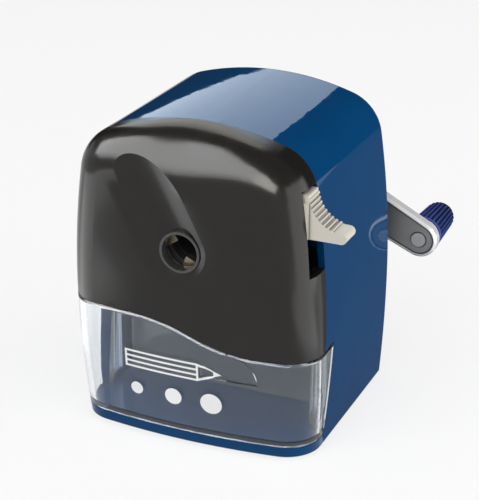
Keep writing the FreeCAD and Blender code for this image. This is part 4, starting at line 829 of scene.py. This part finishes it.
class SHARPENER_OT_sign(Operator):
    """Print the plain pencil sign on the drawer's front"""

    bl_idname = "sharpener.sign"
    bl_label = "Sign on the drawer"

    def execute(self, context):
        sign = context.scene.sharpener_sign
        mesh = filled_mesh("drawer_sign", pencil_outlines(sign) + dot_outlines(sign), 2 * sign.ink)
        shape = bmesh.new()
        shape.from_mesh(mesh)
        bmesh.ops.remove_doubles(shape, verts=shape.verts[:], dist=sign.ink / 10)
        split_long_edges(shape, longest=sign.thickness / 2)
        lay_on_drawer(shape)
        bmesh.ops.recalc_face_normals(shape, faces=shape.faces[:])
        shape.to_mesh(mesh)
        shape.free()
        printed = bpy.data.objects.new("drawer_sign", mesh)
        context.scene.collection.objects.link(printed)
        white = plastic("print_white", settings(context).print_white, roughness=0.45, gloss=0.4)
        mesh.materials.append(white)
        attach(printed, "drawer")
        return {"FINISHED"}


# Studio

# Places in metres: the cards' height over the floor, the panels' place behind, and what the lamps aim at
ABOVE_FLOOR = 0.001
BEHIND = 0.6
PIECE_TOP = Vector((0.0, -0.03, 0.1))


def ring_mesh(name, profile, corners):
    """A mesh turned about Z from a profile of radii and heights, closed at its first point."""
    shape = bmesh.new()
    centre = shape.verts.new((0, 0, profile[0][1]))
    rings = []
    for radius, height in profile[1:]:
        rings.append([shape.verts.new((x, y, height)) for x, y in circle(radius, corners)])
    for corner in range(corners):
        following = (corner + 1) % corners
        shape.faces.new([centre, rings[0][corner], rings[0][following]])
        for low, high in zip(rings, rings[1:]):
            shape.faces.new([low[corner], high[corner], high[following], low[following]])
    mesh = bpy.data.meshes.new(name)
    shape.to_mesh(mesh)
    shape.free()
    for face in mesh.polygons:
        face.use_smooth = True
    return mesh


def cloth(scene, name, centre, towards, size, radiance):
    """A large soft lamp turned towards a point. It lights surfaces but isn't mirrored in them."""
    width, height = size
    lamp = bpy.data.lights.new(name, "AREA")
    lamp.shape = "RECTANGLE"
    lamp.size = width
    lamp.size_y = height
    lamp.energy = radiance * math.pi * width * height
    holder = bpy.data.objects.new(name, lamp)
    holder.location = centre
    holder.rotation_euler = (Vector(towards) - Vector(centre)).to_track_quat("-Z", "Y").to_euler()
    holder.visible_camera = False
    holder.visible_glossy = False
    holder.visible_transmission = False
    scene.collection.objects.link(holder)


def least_fade(tree, radiance, left, fades):
    """A panel's radiance at each place, as the least that its fades leave."""
    place = own_space(tree)
    least = radiance
    for direction, start, end in fades:
        along = vector_maths(tree, "DOT_PRODUCT", place, direction)
        faded = ranged(tree, along, start, end, left * radiance, radiance)
        least = maths(tree, "MINIMUM", least, faded)
    return least


def gloss_panel(scene, name, corners, radiance, colour=(1, 1, 1), left=0.3, fades=()):
    """A flat glowing panel that only shows mirrored in polished surfaces. A fade is a direction and the two
    places along it where a share of the radiance is left and where it is full."""
    mesh = bpy.data.meshes.new(name)
    mesh.from_pydata([tuple(corner) for corner in corners], [], [tuple(range(len(corners)))])
    panel = bpy.data.objects.new(name, mesh)
    scene.collection.objects.link(panel)
    made = bpy.data.materials.new(name)
    made.use_nodes = True
    tree = made.node_tree
    tree.nodes.clear()
    glow = set_inputs(add_node(tree, "ShaderNodeEmission"), Color=(*colour, 1), Strength=radiance)
    output = add_node(tree, "ShaderNodeOutputMaterial")
    tree.links.new(glow.outputs["Emission"], output.inputs["Surface"])
    if fades:
        tree.links.new(least_fade(tree, radiance, left, fades), glow.inputs["Strength"])
    mesh.materials.append(made)
    panel.visible_camera = False
    panel.visible_diffuse = False
    panel.visible_shadow = False
    panel.visible_transmission = False


class SHARPENER_OT_stage(Operator):
    """Set up the floor, the lamps and the camera"""

    bl_idname = "sharpener.stage"
    bl_label = "Studio"

    def execute(self, context):
        scene = context.scene
        stage = scene.sharpener_stage
        scene.view_settings.view_transform = "Standard"
        self.make_floor(scene, stage)
        self.make_lamps(scene, stage)
        self.make_panels(scene, stage)
        self.make_cards(scene, stage)
        self.make_camera(scene, stage)
        return {"FINISHED"}

    def make_floor(self, scene, stage):
        """A pale floor that curves up into a low wall all round."""
        inner, flat, rise, steps, corners = 0.3, 1.5, 0.6, 12, 96
        profile = [(0.0, 0.0), (inner, 0.0), (flat, 0.0)]
        for step in range(1, steps + 1):
            turn = math.pi / 2 * step / steps
            profile.append((flat + rise * math.sin(turn), rise * (1 - math.cos(turn))))
        mesh = ring_mesh("studio_floor", profile, corners)
        floor = bpy.data.objects.new("studio_floor", mesh)
        scene.collection.objects.link(floor)
        made, tree, shader, output = new_material("studio_floor")
        pale = (*[stage.floor_white] * 3, 1)
        set_inputs(shader, Base_Color=pale, Roughness=0.9, Specular_IOR_Level=0.0)
        # Part of the floor's white is its own, for the rays that show it
        rays = add_node(tree, "ShaderNodeLightPath")
        seen = rays.outputs["Is Camera Ray"]
        for kind in ("Is Glossy Ray", "Is Transmission Ray"):
            seen = maths(tree, "MAXIMUM", seen, rays.outputs[kind])
        own = product(tree, seen, stage.floor_own)
        white = set_inputs(add_node(tree, "ShaderNodeEmission"), Color=(1, 1, 1, 1), Strength=1.0)
        blend_shaders(tree, own, shader.outputs["BSDF"], white.outputs["Emission"], output)
        mesh.materials.append(made)

    def make_lamps(self, scene, stage):
        """Three soft lamps that light the piece, in grey surroundings."""
        cloth(scene, "top_cloth", centre=(0.0, 0.0, 1.0), towards=(0, 0, 0), size=(1.5, 1.5),
              radiance=stage.top_light)
        cloth(scene, "front_cloth", centre=(-0.35, -1.0, 0.75), towards=PIECE_TOP, size=(1.2, 0.9),
              radiance=stage.front_light)
        cloth(scene, "right_cloth", centre=(1.1, 0.0, 0.36), towards=PIECE_TOP, size=(0.9, 0.6),
              radiance=stage.right_light)
        world = bpy.data.worlds.new("studio_surroundings")
        scene.world = world
        world.use_nodes = True
        grey = (*[stage.world_grey] * 3, 1)
        world.node_tree.nodes["Background"].inputs["Color"].default_value = grey

    def make_panels(self, scene, stage):
        """Panels that the cover's brow mirrors from in front, and the crown and the seam from behind."""
        ahead = Vector((-0.25, -0.62, 0.74)).normalized()
        aside = ahead.cross(Vector((0, 0, 1))).normalized()
        upward = aside.cross(ahead)

        def in_front(outline, away):
            return [PIECE_TOP + away * ahead + aside * left + upward * high for left, high in outline]

        # Above the camera: long to both sides, and lower at the right
        brow_away, brow_foot, brow_full = 0.8, -0.62, -0.2
        brow = ((1.15, -0.35), (1.05, 0.3), (0.4, 0.5), (0.0, 0.22), (-0.45, 0.05), (-1.0, -0.12),
                (-0.95, -0.62), (-0.35, -0.55), (0.15, -0.48), (0.6, -0.55))
        level = PIECE_TOP.dot(upward)
        gloss_panel(scene, "brow_panel", in_front(brow, brow_away), stage.brow_gloss,
                    fades=((upward, level + brow_foot, level + brow_full),))
        # Its right end is brighter and warmer
        spot_away, spot_end, spot_full = 0.78, 0.22, 0.42
        spot = ((-0.22, 0.08), (-1.1, -0.12), (-1.15, -0.6), (-0.35, -0.46))
        across = -PIECE_TOP.dot(aside)
        gloss_panel(scene, "spot_panel", in_front(spot, spot_away), stage.spot_gloss,
                    colour=(1.0, 0.98, 0.91), left=0.75,
                    fades=((-aside, across + spot_end, across + spot_full),))
        # Behind: a band low at the left and rising to the right, and the seam's panel over it
        seam_behind = BEHIND + 0.02
        band = ((-0.425, 0.139), (-0.262, 0.253), (-0.064, 0.33), (-0.105, 0.5), (-0.47, 0.26))
        gloss_panel(scene, "crown_panel", [(x, BEHIND, z) for x, z in band], stage.crown_gloss,
                    colour=(0.73, 0.86, 1.0), left=0.9, fades=(((1, 0, 0), -0.4, -0.15),))
        seam = ((-0.55, 0.27), (-0.06, 0.52), (-0.06, 1.15), (-0.75, 1.15))
        gloss_panel(scene, "seam_panel", [(x, seam_behind, z) for x, z in seam], stage.seam_gloss,
                    colour=(1.0, 0.98, 0.92))

    def make_cards(self, scene, stage):
        """Cards beside the piece and dark cloths behind it, which its sides mirror."""
        # A card and its apron at the right, and a card at the left, fade to about the floor's brightness
        right, front, front_full, rear, top = 0.17, -0.14, -0.1, 0.13, 0.16
        standing = ((front, ABOVE_FLOOR), (rear, ABOVE_FLOOR), (rear, top), (front, top))
        fades = (((0, 1, 0), front, front_full), ((0, -1, 0), -rear, -0.05), ((0, 0, -1), -top, -0.15))
        gloss_panel(scene, "right_card", [(right, y, z) for y, z in standing], stage.card_gloss, fades=fades)
        near, apron_rear = 0.09, 0.03
        apron = ((near, front), (right, front), (right, apron_rear), (near, apron_rear))
        fades = (((0, 1, 0), front, front_full), ((0, -1, 0), -apron_rear, 0.0), ((1, 0, 0), near, 0.115))
        gloss_panel(scene, "right_apron", [(x, y, ABOVE_FLOOR) for x, y in apron], stage.card_gloss,
                    fades=fades)
        lying = ((-0.4, -0.4), (-0.22, -0.4), (-0.14, -0.14), (-0.05, -0.1), (-0.05, 0.02), (-0.4, 0.02))
        fades = (((-1, 0, 0), 0.06, 0.105), ((1, 0, 0), -0.4, -0.25), ((0, -1, 0), -0.02, 0.04))
        gloss_panel(scene, "left_card", [(x, y, ABOVE_FLOOR) for x, y in lying], stage.card_gloss,
                    fades=fades)
        # The dark cloths stand behind and lie on the floor behind the piece, and keep its gloss deep
        backdrop_behind = BEHIND + 0.05
        backdrop = ((-1.4, 0.0), (1.4, 0.0), (1.4, 1.3), (-1.4, 1.3))
        gloss_panel(scene, "rear_cloth", [(x, backdrop_behind, z) for x, z in backdrop], stage.rear_dark)
        runner = ((-0.036, -0.03), (0.036, -0.03), (0.36, 0.64), (-0.36, 0.64))
        gloss_panel(scene, "floor_cloth", [(x, y, ABOVE_FLOOR) for x, y in runner], stage.floor_dark)

    def make_camera(self, scene, stage):
        """The camera, placed by its turn, its angle above the floor and its distance."""
        lens = bpy.data.cameras.new("photo_camera")
        lens.lens = stage.focal_length
        lens.shift_x = stage.shift_x
        lens.shift_y = stage.shift_y
        lens.clip_start = 0.01
        camera = bpy.data.objects.new("photo_camera", lens)
        level = math.cos(stage.elevation)
        back = Vector((math.sin(stage.azimuth) * level, -math.cos(stage.azimuth) * level,
                       math.sin(stage.elevation)))
        camera.location = Vector(stage.look_at) + back * stage.distance
        camera.rotation_euler = (-back).to_track_quat("-Z", "Y").to_euler()
        scene.collection.objects.link(camera)
        scene.camera = camera


STEPS = (
    SHARPENER_OT_casing,
    SHARPENER_OT_cover,
    SHARPENER_OT_drawer,
    SHARPENER_OT_inlet,
    SHARPENER_OT_lever,
    SHARPENER_OT_mechanism,
    SHARPENER_OT_crank,
    SHARPENER_OT_knob,
    SHARPENER_OT_sign,
    SHARPENER_OT_stage,
)


GROUPS = {
    "sharpener_finishes": SharpenerFinishes,
    "sharpener_sign": SharpenerSign,
    "sharpener_stage": SharpenerStage,
}


class SHARPENER_PT_pieces(Panel):
    """Lists the sharpener's pieces and its studio"""

    bl_label = "Crank pencil sharpener"
    bl_idname = "SHARPENER_PT_pieces"
    bl_space_type = "VIEW_3D"
    bl_region_type = "UI"
    bl_category = "Sharpener"

    def draw(self, context):
        for step in STEPS:
            self.layout.operator(step.bl_idname)
        for name, kind in GROUPS.items():
            column = self.layout.column(align=True)
            for label in kind.__annotations__:
                column.prop(getattr(context.scene, name), label)


CLASSES = (*GROUPS.values(), *STEPS, SHARPENER_PT_pieces)


def register():
    for item in CLASSES:
        bpy.utils.register_class(item)
    for name, kind in GROUPS.items():
        setattr(bpy.types.Scene, name, PointerProperty(type=kind))


def unregister():
    for name in GROUPS:
        delattr(bpy.types.Scene, name)
    for item in reversed(CLASSES):
        bpy.utils.unregister_class(item)


def main():
    register()
    for step in STEPS:
        family, name = step.bl_idname.split(".")
        getattr(getattr(bpy.ops, family), name)()


if __name__ == "__main__":
    main()
